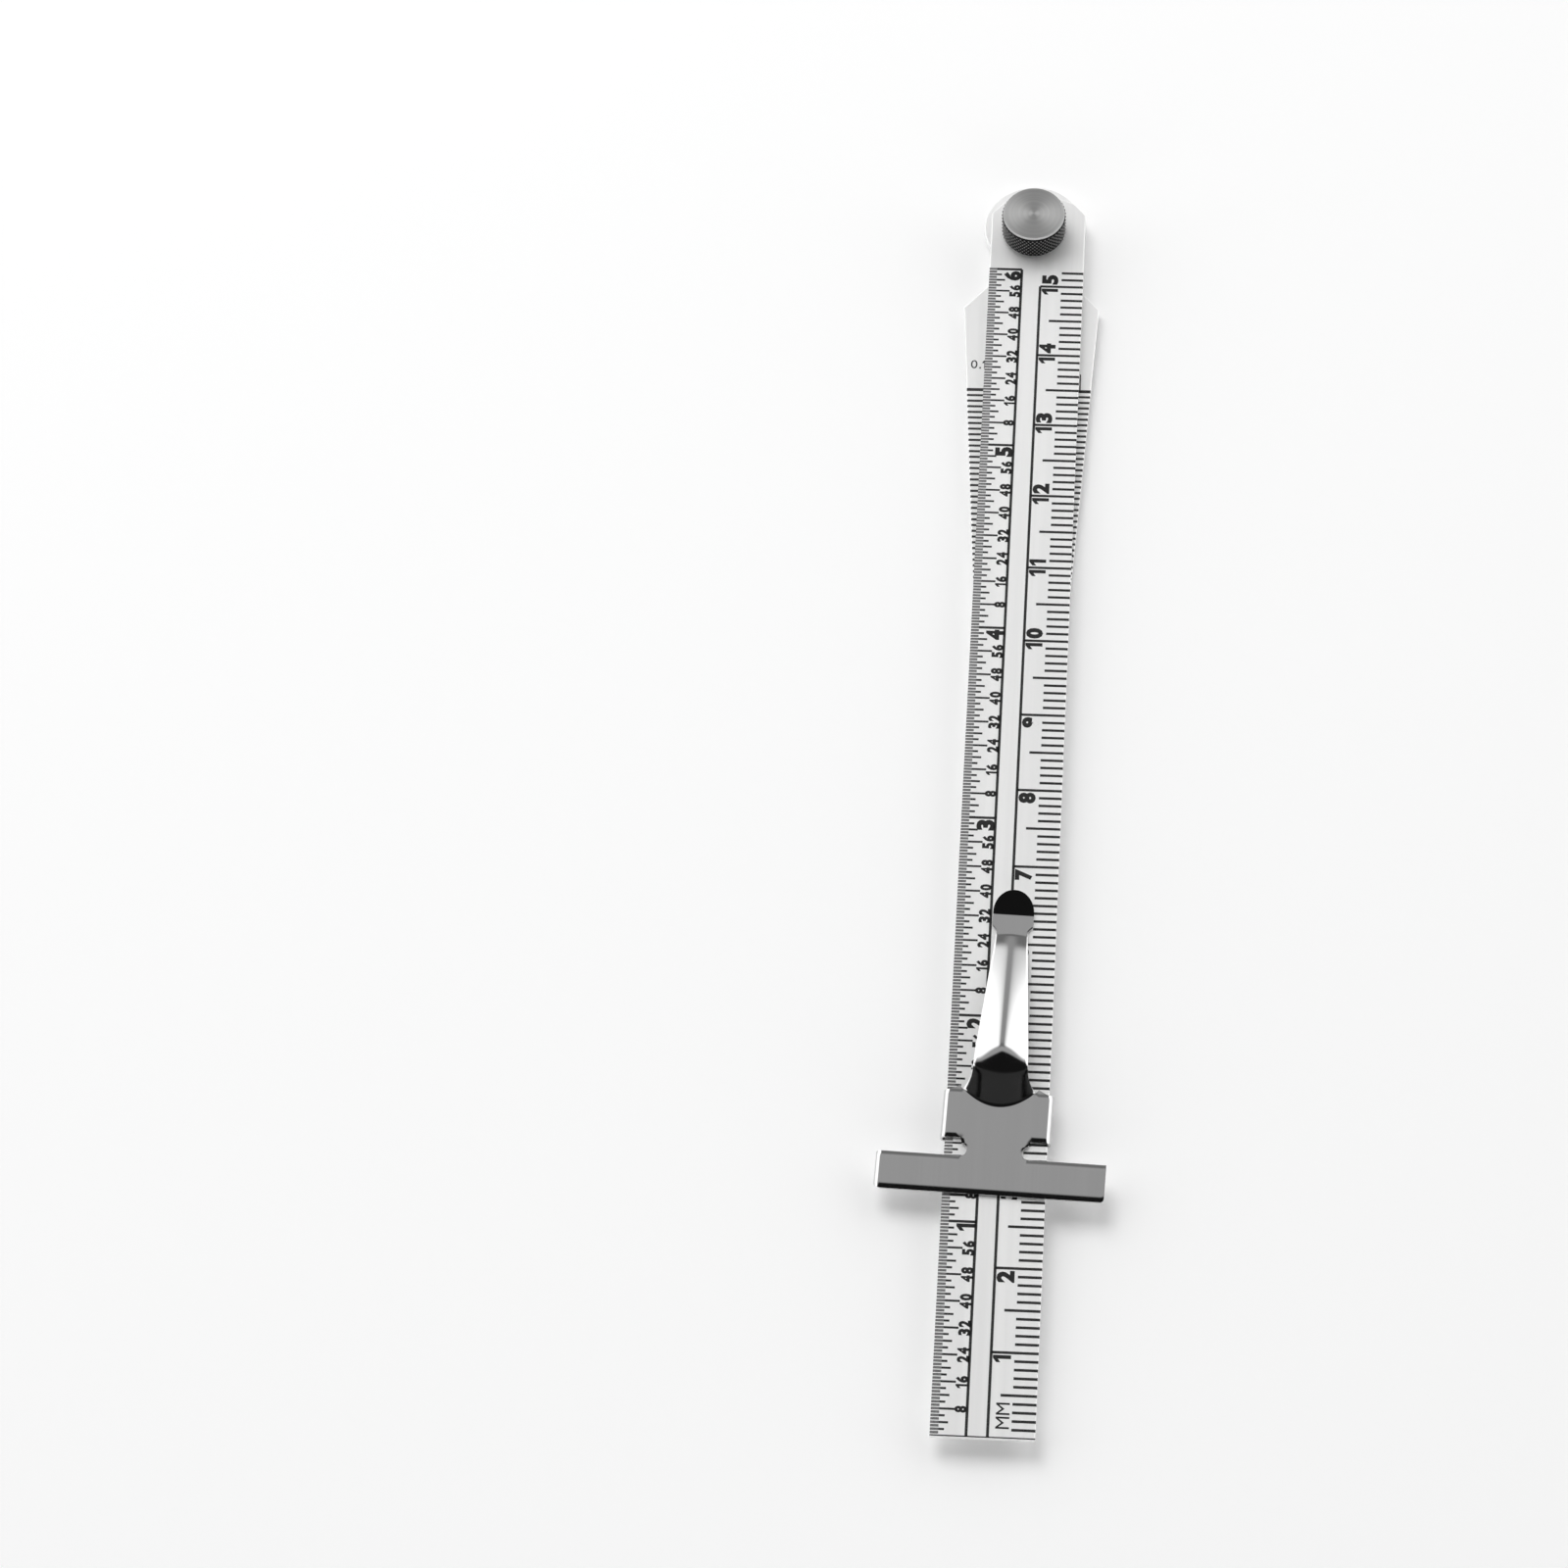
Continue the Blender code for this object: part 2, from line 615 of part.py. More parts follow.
def main():
    """Build the gauge."""
    clear_scene()
    satin = steel("satin_steel", (0.72, 0.72, 0.71), 0.42)
    polished = steel("polished_steel", (0.66, 0.66, 0.66), 0.12)
    turned_steel = steel("turned_steel", (0.6, 0.6, 0.6), 0.3)
    make_rule(satin)
    make_blade(satin)
    make_stud(turned_steel)
    make_washer(turned_steel)
    make_nut(turned_steel)
    make_clip(polished)


main()
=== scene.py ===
"""The looks of a pocket taper gauge: a graduated rule and blade, a knurled nut and a polished depth clip.

The frame is the CAD model's: the pivot's axis is Z, the gauge lies on Z = 0, and the rule runs towards -Y.
"""

import logging
from dataclasses import dataclass
from enum import Enum
from functools import cache
from math import asin, cos, pi, radians, sin, sqrt, tan
from typing import NamedTuple

import bmesh
import bpy
from mathutils import Matrix, Vector


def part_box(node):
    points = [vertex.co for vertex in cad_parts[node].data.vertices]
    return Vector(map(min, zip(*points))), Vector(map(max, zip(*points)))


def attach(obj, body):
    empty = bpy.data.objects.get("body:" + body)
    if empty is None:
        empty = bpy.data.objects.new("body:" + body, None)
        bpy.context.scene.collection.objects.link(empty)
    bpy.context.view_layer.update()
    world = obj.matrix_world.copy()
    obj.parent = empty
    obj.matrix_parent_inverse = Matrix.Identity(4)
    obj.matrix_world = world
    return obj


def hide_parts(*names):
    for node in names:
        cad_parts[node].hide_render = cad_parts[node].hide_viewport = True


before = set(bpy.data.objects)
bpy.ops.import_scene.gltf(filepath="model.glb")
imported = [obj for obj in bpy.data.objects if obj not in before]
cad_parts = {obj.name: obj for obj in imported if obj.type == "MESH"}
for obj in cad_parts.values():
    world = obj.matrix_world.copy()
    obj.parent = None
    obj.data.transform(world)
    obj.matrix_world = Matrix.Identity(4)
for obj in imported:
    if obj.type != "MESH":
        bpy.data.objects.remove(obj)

Material = bpy.types.Material
Piece = bpy.types.Object
Socket = bpy.types.NodeSocket
Shape = bmesh.types.BMesh
Triple = tuple[float, float, float]
Column = list[bmesh.types.BMVert]

MM = 0.001
UPWARDS = pi / 2
ONE_TO_OTHERS = 0.6
log = logging.getLogger("taper_gauge")


class Body(Enum):
    """The moving bodies that the pieces ride on."""

    RULE = "rule"
    BLADE = "blade"
    NUT = "nut"
    CLIP = "clip"


class Slot(Enum):
    """The record's finishes."""

    POLISHED = "polished_steel"
    TURNED = "turned_steel"


class Grain(Enum):
    """Which way the marks of the last abrasive run."""

    LENGTHWISE = "lengthwise"
    CIRCULAR = "circular"


# Shared tools for meshes


def shared_out(start: float, end: float, steps: int) -> list[float]:
    """Give evenly spaced values from one number to another, both ends included."""
    return [start + (end - start) * step / steps for step in range(steps + 1)]


def eased(share: float) -> float:
    """Give a smooth step from 0 to 1, held at its ends."""
    share = min(1.0, max(0.0, share))
    return share**2 * (3 - 2 * share)


def arc_points(
    centre: tuple[float, float], radius: float, start: float, end: float, step: float
) -> list[tuple[float, float]]:
    """Place points on an arc between two angles, roughly a step apart, both ends included."""
    angles = shared_out(start, end, max(2, round(abs(end - start) / step)))
    return [(centre[0] + radius * cos(angle), centre[1] + radius * sin(angle)) for angle in angles]


def turned(profile: list[tuple[float, float]], segments: int) -> Shape:
    """Turn a closed solid about the pivot's axis from points of radius and height that end on it."""
    shape = bmesh.new()
    points = [shape.verts.new((radius, 0, height)) for radius, height in profile]
    for first, second in zip(points, points[1:]):
        shape.edges.new((first, second))
    around = {"cent": (0, 0, 0), "axis": (0, 0, 1), "angle": 2 * pi, "steps": segments}
    bmesh.ops.spin(shape, geom=shape.verts[:] + shape.edges[:], use_merge=True, **around)
    bmesh.ops.remove_doubles(shape, verts=shape.verts, dist=0.0005 * MM)
    bmesh.ops.recalc_face_normals(shape, faces=shape.faces)
    return shape


def as_mesh(name: str, shape: Shape) -> bpy.types.Mesh:
    """Turn a shape into a mesh, and free the shape."""
    mesh = bpy.data.meshes.new(name)
    shape.to_mesh(mesh)
    shape.free()
    return mesh


def linked(name: str, data: bpy.types.ID) -> Piece:
    """Make an object of its data, and put it in the scene."""
    item = bpy.data.objects.new(name, data)
    bpy.context.scene.collection.objects.link(item)
    return item


def add_piece(name: str, shape: Shape, material: Material, body: Body) -> Piece:
    """Make a piece of a shape that is already in its place, and let it ride."""
    mesh = as_mesh(name, shape)
    mesh.materials.append(material)
    piece = linked(name, mesh)
    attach(piece, body.value)
    return piece


def smooth(mesh: bpy.types.Mesh, sharp: float) -> None:
    """Shade a mesh smooth, except over edges past an angle."""
    mesh.shade_smooth()
    mesh.set_sharp_from_angle(angle=sharp)


def dress(node: str, material: Material) -> None:
    """Give a CAD node that stays in view its material."""
    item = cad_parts[node]
    item.data.materials.clear()
    item.data.materials.append(material)
    for face in item.data.polygons:
        face.material_index = 0


# Finishes


class Nodes:
    """Short ways to add and join the nodes of one tree."""

    def __init__(self, tree: bpy.types.NodeTree) -> None:
        """Keep the tree."""
        self.tree = tree

    def add(self, kind: str, *inputs: Socket | float | tuple, **settings: object) -> bpy.types.Node:
        """Add a node of a kind, with its properties set and its first inputs fed."""
        node = self.tree.nodes.new("ShaderNode" + kind)
        for name, value in settings.items():
            setattr(node, name, value)
        for socket, source in zip(node.inputs, inputs):
            self.feed(socket, source)
        return node

    def feed(self, socket: Socket, source: Socket | float | tuple) -> None:
        """Link another socket to an input, or set its value."""
        if isinstance(source, Socket):
            self.tree.links.new(source, socket)
        else:
            socket.default_value = source

    def set(self, node: bpy.types.Node, inputs: dict[str, Socket | float | tuple]) -> None:
        """Feed several inputs of a node by their names."""
        for name, source in inputs.items():
            self.feed(node.inputs[name], source)

    def math(self, operation: str, first: Socket, second: Socket | float = 0.0) -> Socket:
        """Combine two numbers by a Math node's operation."""
        return self.add("Math", first, second, operation=operation).outputs[0]

    def vector(self, operation: str, *inputs: Socket | tuple) -> Socket:
        """Combine vectors by a Vector Math node's operation."""
        result = "Value" if operation in ("LENGTH", "DOT_PRODUCT") else "Vector"
        return self.add("VectorMath", *inputs, operation=operation).outputs[result]

    def scaled(self, vector: Socket | tuple, factor: Socket) -> Socket:
        """Scale a vector or a colour."""
        node = self.add("VectorMath", vector, operation="SCALE")
        self.feed(node.inputs["Scale"], factor)
        return node.outputs[0]

    def place(self) -> Socket:
        """Give the place on the object, in its own coordinates."""
        return self.add("TexCoord").outputs["Object"]

    def from_axis(self) -> Socket:
        """Give the vector from the pivot's axis to the place on the object."""
        parts = self.add("SeparateXYZ", self.place()).outputs
        return self.add("CombineXYZ", parts["X"], parts["Y"]).outputs[0]

    def noise(self, place: Socket, scale: float, detail: float = 2.0) -> Socket:
        """Give the level of a noise at a place."""
        node = self.add("TexNoise", place)
        self.set(node, {"Scale": scale, "Detail": detail})
        return node.outputs[0]

    def spread(self, source: Socket, low: float, high: float, start: float, end: float) -> Socket:
        """Turn a value that runs from start to end into one that runs smoothly from low to high."""
        node = self.add("MapRange", source, start, end, low, high, interpolation_type="SMOOTHSTEP")
        return node.outputs["Result"]

    def ramp(self, source: Socket, stops: list[tuple[float, float]]) -> Socket:
        """Turn a value into another by stops: pairs of the two values, in rising order."""
        node = self.add("ValToRGB", source)
        node.color_ramp.interpolation = "EASE"
        elements = node.color_ramp.elements
        for place, _ in stops[1:-1]:
            elements.new(place)
        for stop, (place, value) in zip(elements, stops):
            stop.position = place
            stop.color = (value, value, value, 1.0)
        return node.outputs[0]

    def blend(self, share: Socket, first: Socket, second: Socket) -> Socket:
        """Blend two values by the second one's share."""
        node = self.add("Mix")
        self.set(node, {"Factor": share, "A": first, "B": second})
        return node.outputs["Result"]

    def grain(self, direction: Grain, across: float, along: float) -> bpy.types.Node:
        """Add the marks of an abrasive, with their fineness across and along."""
        return self.add("Group", across, along, node_tree=grain_group(direction))

    def emboss(self, shader: bpy.types.Node, grain: bpy.types.Node, depth: float) -> None:
        """Let the marks of an abrasive tilt a surface."""
        bump = self.add("Bump")
        self.set(bump, {"Strength": 1.0, "Distance": depth, "Height": grain.outputs["Height"]})
        self.feed(shader.inputs["Normal"], bump.outputs[0])


@cache
def grain_group(direction: Grain) -> bpy.types.NodeTree:
    """Build the effect of fine abrasive marks, their height and slow tone, once for each direction."""
    group = bpy.data.node_groups.new(direction.value + "_grain", "ShaderNodeTree")
    for in_out, titles in (("INPUT", ("Across", "Along")), ("OUTPUT", ("Height", "Tone"))):
        for title in titles:
            group.interface.new_socket(name=title, in_out=in_out, socket_type="NodeSocketFloat")
    nodes = Nodes(group)
    across, along = group.nodes.new("NodeGroupInput").outputs[:2]
    if direction is Grain.LENGTHWISE:
        stretch = nodes.add("CombineXYZ", across, along, across).outputs[0]
        lanes = nodes.vector("MULTIPLY", nodes.place(), stretch)
        slow_scale, slow_detail = 0.05, 3.0
    else:
        flat = nodes.from_axis()
        turn = nodes.scaled(nodes.vector("NORMALIZE", flat), along)
        ring = nodes.math("MULTIPLY", nodes.vector("LENGTH", flat), across)
        lanes = nodes.vector("ADD", turn, nodes.add("CombineXYZ", 0.0, 0.0, ring).outputs[0])
        slow_scale, slow_detail = 0.12, 2.0
    end = group.nodes.new("NodeGroupOutput")
    nodes.feed(end.inputs["Height"], nodes.noise(lanes, 1.0))
    nodes.feed(end.inputs["Tone"], nodes.noise(lanes, slow_scale, slow_detail))
    return group


def principled(name: str) -> tuple[Material, Nodes, bpy.types.Node]:
    """Start a material, and give it with its nodes and its shader."""
    material = bpy.data.materials.new(name)
    material.use_nodes = True
    return material, Nodes(material.node_tree), material.node_tree.nodes["Principled BSDF"]


@dataclass(frozen=True)
class Steel:
    """A bare steel surface with the marks of its last abrasive."""

    name: str
    colour: Triple
    tone_change: float
    roughness: float
    roughness_change: float
    grain: Grain
    grain_across: float
    grain_along: float
    grain_depth: float
    metallic: float = 1.0

    def material(self) -> Material:
        """Build a metal whose tone, roughness and fine relief follow the grain."""
        material, nodes, shader = principled(self.name)
        if self.grain is Grain.CIRCULAR:
            lay = nodes.add("Tangent", direction_type="RADIAL", axis="Z").outputs[0]
            nodes.set(shader, {"Anisotropic": 0.6, "Anisotropic Rotation": 0.25, "Tangent": lay})
        grain = nodes.grain(self.grain, self.grain_across, self.grain_along)
        tone = nodes.spread(grain.outputs["Tone"], 1 - self.tone_change, 1 + self.tone_change, 0.3, 0.7)
        low, high = self.roughness - self.roughness_change, self.roughness + self.roughness_change
        roughness = nodes.spread(grain.outputs["Height"], low, high, 0.2, 0.8)
        colour = nodes.scaled(self.colour, tone)
        nodes.set(shader, {"Metallic": self.metallic, "Base Color": colour, "Roughness": roughness})
        nodes.emboss(shader, grain, self.grain_depth)
        return material


@dataclass(frozen=True)
class Ink:
    """The dark filling of etched marks, a little uneven in density."""

    name: str
    tone: float
    unevenness: float

    def material(self) -> Material:
        """Build a matt dark filling with fine specks."""
        material, nodes, shader = principled(self.name)
        low, high = self.tone * (1 - self.unevenness), self.tone * (1 + self.unevenness)
        tone = nodes.spread(nodes.noise(nodes.place(), 6000.0), low, high, 0.3, 0.7)
        nodes.set(shader, {"Roughness": 0.6, "Base Color": nodes.scaled((1.0, 1.0, 1.0), tone)})
        return material


@dataclass(frozen=True)
class KnurledSteel:
    """A knurled side with painted shade: dark grey on the crests, nearly black in the grooves, set by the
    distance from the axis.
    """

    name: str
    groove_tone: float
    crest_tone: float
    groove_radius: float
    crest_radius: float
    roughness: float
    grain_depth: float

    def material(self) -> Material:
        """Build a metal whose painted shade lightens from the grooves to the crests."""
        material, nodes, shader = principled(self.name)
        radius = nodes.vector("LENGTH", nodes.from_axis())
        tone = nodes.spread(radius, self.groove_tone, self.crest_tone, self.groove_radius, self.crest_radius)
        colour = nodes.scaled((1.0, 1.0, 0.99), tone)
        nodes.set(shader, {"Metallic": 1.0, "Roughness": self.roughness, "Base Color": colour})
        nodes.emboss(shader, nodes.grain(Grain.CIRCULAR, 9000.0, 3.0), self.grain_depth)
        return material


def satin(name: str, roughness: float) -> Steel:
    """Give the satin finish of a plate."""
    colour = (0.95, 0.95, 0.945)
    return Steel(name, colour, 0.03, roughness, 0.05, Grain.LENGTHWISE, 16000, 260, 0.0006 * MM, 0.28)


SATIN_RULE = satin("satin_rule_steel", 0.46)
SATIN_BLADE = satin("satin_blade_steel", 0.48)
POLISHED_CLIP = Steel(
    "polished_spring_steel", (0.7, 0.7, 0.7), 0.015, 0.09, 0.02, Grain.LENGTHWISE, 9000, 120, 0.00008 * MM
)
TURNED_FACE = Steel(
    "turned_nut_steel", (0.66, 0.66, 0.655), 0.08, 0.36, 0.05, Grain.CIRCULAR, 16000, 0.6, 0.003 * MM
)
TURNED_RING = Steel(
    "turned_ring_steel", (0.5, 0.5, 0.5), 0.05, 0.3, 0.05, Grain.CIRCULAR, 16000, 0.6, 0.001 * MM
)
# Painted shade: the knurled side is dark all over, and nearly black in its grooves and on the nut's foot
# chamfer.
KNURLED_SIDE = KnurledSteel("knurled_nut_steel", 0.006, 0.3, 3.86 * MM, 3.95 * MM, 0.3, 0.0006 * MM)
DARK_INK = Ink("dark_ink", 0.008, 0.4)
LINE_INK = Ink("line_ink", 0.015, 0.3)
PALE_INK = Ink("pale_ink", 0.03, 0.2)
FINE_INK = Ink("fine_line_ink", 0.16, 0.2)


# Marks


def figure_one() -> Shape:
    """Draw the figure 1 with its flag, as a flat solid in a unit box."""
    outline = [(0.48, 0.0), (1.0, 0.0), (1.0, 1.0), (0.6, 1.0), (0.0, 0.8), (0.0, 0.58), (0.48, 0.72)]
    shape = bmesh.new()
    face = shape.faces.new([shape.verts.new((x, y, 0)) for x, y in outline])
    grown = bmesh.ops.extrude_face_region(shape, geom=[face], use_keep_orig=True)["geom"]
    raised = [item for item in grown if isinstance(item, bmesh.types.BMVert)]
    bmesh.ops.translate(shape, verts=raised, vec=(0, 0, 1))
    return shape


def font_figure(text: str, weight: float) -> Shape:
    """Draw another character of a weight, as a flat solid in a unit box."""
    curve = bpy.data.curves.new("glyph", "FONT")
    curve.body = text
    curve.offset = weight
    curve.extrude = 0.5
    curve.resolution_u = 3
    holder = bpy.data.objects.new("glyph", curve)
    mesh = bpy.data.meshes.new_from_object(holder)
    shape = bmesh.new()
    shape.from_mesh(mesh)
    bpy.data.objects.remove(holder)
    bpy.data.meshes.remove(mesh)
    bmesh.ops.remove_doubles(shape, verts=shape.verts, dist=0.0001)
    low, high = (
        Vector([end(point.co[axis] for point in shape.verts) for axis in range(3)]) for end in (min, max)
    )
    bmesh.ops.translate(shape, verts=shape.verts, vec=-low)
    bmesh.ops.scale(shape, verts=shape.verts, vec=[1 / size for size in high - low])
    return shape


@cache
def glyph(text: str, weight: float) -> bpy.types.Mesh:
    """Make a character's mesh, once for each weight."""
    shape = figure_one() if text == "1" else font_figure(text, weight)
    bmesh.ops.recalc_face_normals(shape, faces=shape.faces)
    return as_mesh("glyph", shape)


def widths_of(text: str, width: float) -> list[float]:
    """Give the widths of a number's figures, of which a 1 is narrower."""
    return [width * (ONE_TO_OTHERS if letter == "1" else 1.0) for letter in text]


class Engraving:
    """Marks of one ink on a flat face, gathered in one mesh. Z = 0 is the face while they are drawn."""

    PROUD = 0.006 * MM
    SUNK = 0.02 * MM

    def __init__(self) -> None:
        """Start with no marks."""
        self.shape = bmesh.new()

    def bar(self, left: float, right: float, low: float, high: float) -> None:
        """Draw a straight bar between two X and two Y."""
        centre = Vector(((left + right) / 2, (low + high) / 2, (self.PROUD - self.SUNK) / 2))
        size = Matrix.Diagonal((right - left, high - low, self.PROUD + self.SUNK, 1.0))
        bmesh.ops.create_cube(self.shape, size=1.0, matrix=Matrix.Translation(centre) @ size)

    def tick(self, start: float, end: float, along: float, thickness: float) -> None:
        """Draw a graduation across the strip, from one X to another, with its middle at a Y."""
        self.bar(min(start, end), max(start, end), along - thickness / 2, along + thickness / 2)

    def figure(
        self, text: str, weight: float, width: float, height: float, corner: tuple[float, float], turn: float
    ) -> None:
        """Draw one character from its own lower left corner, on a line turned by an angle from +X."""
        place = (
            Matrix.Translation((*corner, -self.SUNK))
            @ Matrix.Rotation(turn, 4, "Z")
            @ Matrix.Diagonal((width, height, self.PROUD + self.SUNK, 1.0))
        )
        copy = glyph(text, weight).copy()
        copy.transform(place)
        self.shape.from_mesh(copy)
        bpy.data.meshes.remove(copy)

    def word(
        self, text: str, weight: float, widths: list[float], height: float, gap: float, foot: float,
        start: float,
    ) -> None:
        """Write characters upwards from a Y, with their feet at one X."""
        for letter, width in zip(text, widths):
            self.figure(letter, weight, width, height, (foot, start), UPWARDS)
            start += width + gap

    def centred(
        self, text: str, weight: float, width: float, height: float, gap: float, foot: float, middle: float
    ) -> None:
        """Write a number centred on a Y; the width is that of its widest figure."""
        widths = widths_of(text, width)
        start = middle - (sum(widths) + gap * (len(text) - 1)) / 2
        self.word(text, weight, widths, height, gap, foot, start)

    def finish(self, name: str, ink: Ink, body: Body, place: Matrix) -> Piece:
        """Put the marks in their place, from the drawing's frame to the object's."""
        bmesh.ops.transform(self.shape, matrix=place, verts=self.shape.verts)
        return add_piece(name, self.shape, ink.material(), body)


# Sub-assemblies


@dataclass
class Rule:
    """The graduated strip. X counts from its centre line and Y from its zero end."""

    width: float = 11.5 * MM
    thickness: float = 0.8 * MM
    pivot_to_zero: float = 158.0 * MM
    offset: float = 0.53 * MM
    inch: float = 25.4 * MM
    line: float = 0.32 * MM
    fine_line: float = 0.25 * MM
    finest_line: float = 0.29 * MM
    inch_frame: float = -1.78 * MM
    metric_frame: float = 0.55 * MM
    metric_end: int = 152
    end_line: float = 0.14 * MM
    bold: float = 0.06
    bold_fraction: float = 0.056
    metric_figure: tuple[float, float] = (1.43 * MM, 2.0 * MM)
    metric_foot: float = 2.75 * MM
    metric_gap: float = 0.3 * MM
    inch_figure: tuple[float, float] = (1.4 * MM, 2.15 * MM)
    inch_one: float = 0.62
    inch_gap: float = 0.25 * MM
    fraction: tuple[float, float] = (0.8 * MM, 1.38 * MM)
    fraction_gap: float = 0.17 * MM
    unit: tuple[float, float] = (1.4 * MM, 1.5 * MM)
    unit_gap: float = 0.224 * MM

    def place(self) -> Matrix:
        """From the drawing of the scales to the top face."""
        return Matrix.Translation((self.offset, -self.pivot_to_zero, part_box("rule")[1].z))

    def metric_scale(self, marks: Engraving) -> None:
        """Draw the millimetre scale along the right edge."""
        edge = self.width / 2
        reach = {10: edge - self.metric_frame, 5: 3.97 * MM, 1: 2.63 * MM}
        for millimetre in range(1, self.metric_end + 1):
            kind = next(step for step in reach if millimetre % step == 0)
            marks.tick(edge, edge - reach[kind], millimetre * MM, self.line)
        marks.bar(self.metric_frame - self.line / 2, self.metric_frame + self.line / 2, 0, 150 * MM)
        marks.bar(-edge, edge, 0, self.end_line)

    def inch_scale(self, marks: Engraving, fine: Engraving) -> None:
        """Draw the inch scale along the left edge; the short lines of its sixty-fourths are fine."""
        edge = -self.width / 2
        reach = {64: self.inch_frame - edge, 8: 2.6 * MM, 4: 1.96 * MM, 2: 1.55 * MM, 1: 0.93 * MM}
        for part in range(1, 6 * 64 + 1):
            kind = next(step for step in reach if part % step == 0)
            thickness = self.line if kind == 64 else self.fine_line
            along = part * self.inch / 64
            fine.tick(edge, edge + reach[1], along, self.finest_line)
            if kind > 1:
                marks.tick(edge + reach[1], edge + reach[kind], along, thickness)
        marks.bar(self.inch_frame - self.line / 2, self.inch_frame + self.line / 2, 0, 6 * self.inch)

    def figures(self, marks: Engraving) -> None:
        """Write the figures of both scales; the line of a ten runs between its two figures."""
        width, height = self.metric_figure
        for number in range(1, 16):
            text = str(number)
            widths = widths_of(text, width)
            begin = number * 10 * MM - self.metric_gap - widths[0]
            marks.word(text, self.bold, widths, height, 2 * self.metric_gap, self.metric_foot, begin)
        width, height = self.unit
        marks.word("MM", 0.0, [width, width], height, self.unit_gap, 2.85 * MM, 1.1 * MM)
        foot = self.inch_frame - 0.02 * MM
        for number in range(1, 7):
            width = self.inch_figure[0] * (self.inch_one if number == 1 else 1.0)
            begin = number * self.inch - self.inch_gap - width
            marks.word(str(number), self.bold, [width], self.inch_figure[1], 0.0, foot, begin)
        for part in range(8, 6 * 64, 8):
            if part % 64:
                middle = part / 64 * self.inch
                marks.centred(
                    str(part % 64), self.bold_fraction, *self.fraction, self.fraction_gap, foot, middle
                )

    def build(self) -> list[Piece]:
        """Engrave the scales and dress the strip."""
        lines, fine, figures = Engraving(), Engraving(), Engraving()
        self.metric_scale(lines)
        self.inch_scale(lines, fine)
        self.figures(figures)
        dress("rule", SATIN_RULE.material())
        marks = (
            ("rule_scale_lines", lines, LINE_INK),
            ("rule_fine_lines", fine, FINE_INK),
            ("rule_scale_figures", figures, DARK_INK),
        )
        return [drawn.finish(name, ink, Body.RULE, self.place()) for name, drawn, ink in marks]


@dataclass
class TaperBlade:
    """The taper blade. X counts from its centre line and Y from the pivot, before its small turn."""

    top_mark: float = 22.3 * MM
    spacing: float = 0.8 * MM
    first_reading: int = 150
    last_reading: int = 10
    rest_angle: float = radians(0.6)
    line: float = 0.31 * MM
    end_line: float = 1.35 * 0.31 * MM
    reach: float = 2.3 * MM
    half_reach: float = 3.2 * MM
    figure_height: float = 2.0 * MM
    unit_height: float = 1.2 * MM
    unit_at: float = -19.25 * MM

    def place(self) -> Matrix:
        """From the drawing of the scale to the blade's top face."""
        top = Matrix.Translation((0, 0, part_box("taper_blade")[1].z))
        return top @ Matrix.Rotation(self.rest_angle, 4, "Z")

    def half_width(self, reading: int) -> float:
        """Give half the blade's width at a reading in tenths of a millimetre."""
        return reading * 0.05 * MM

    def along(self, reading: int) -> float:
        """Give the Y of a reading in tenths of a millimetre."""
        return -self.top_mark - (self.first_reading - reading) * self.spacing

    def scale(self, marks: Engraving, strong: Engraving) -> None:
        """Draw the graduations on both edges; those of each half millimetre on the right are strong."""
        for reading in range(self.last_reading, self.first_reading + 1):
            half = self.half_width(reading)
            along = self.along(reading)
            kind = self.half_reach if reading % 5 == 0 else self.reach
            reach = min(kind, half - 0.02 * MM)
            thickness = self.end_line if reading == self.first_reading else self.line
            marks.tick(-half, -half + reach, along, thickness)
            right = strong if reading % 5 == 0 else marks
            right.tick(half - reach, half, along, thickness)

    def figures(self, marks: Engraving) -> None:
        """Write the readings down the middle, smaller where the blade is narrow."""
        for number in range(15, 1, -1):
            height = min(self.figure_height, self.half_width(number * 10) * 0.5)
            width = height * 0.7
            middle = self.along(number * 10)
            marks.centred(str(number), 0.02, width, height, width * 0.16, height / 2, middle)

    def unit(self, marks: Engraving) -> None:
        """Write the unit of the scale upright on the left shoulder, and the right edge's end line."""
        low = self.unit_at
        marks.figure("0", 0.0, 0.8 * MM, self.unit_height, (-7.13 * MM, low), 0.0)
        marks.bar(-6.1 * MM, -5.9 * MM, low, low + 0.2 * MM)
        marks.figure("1", 0.0, 0.4 * MM, self.unit_height, (-5.72 * MM, low), 0.0)
        marks.bar(6.12 * MM, 6.28 * MM, -self.top_mark, -self.top_mark + 2.45 * MM)

    def build(self) -> list[Piece]:
        """Engrave the scale and dress the blade."""
        pale, strong, figures = Engraving(), Engraving(), Engraving()
        self.scale(pale, strong)
        self.unit(strong)
        self.figures(figures)
        dress("taper_blade", SATIN_BLADE.material())
        marks = (
            ("blade_scale_lines", pale, PALE_INK),
            ("blade_half_lines", strong, LINE_INK),
            ("blade_figures", figures, DARK_INK),
        )
        return [drawn.finish(name, ink, Body.BLADE, self.place()) for name, drawn, ink in marks]


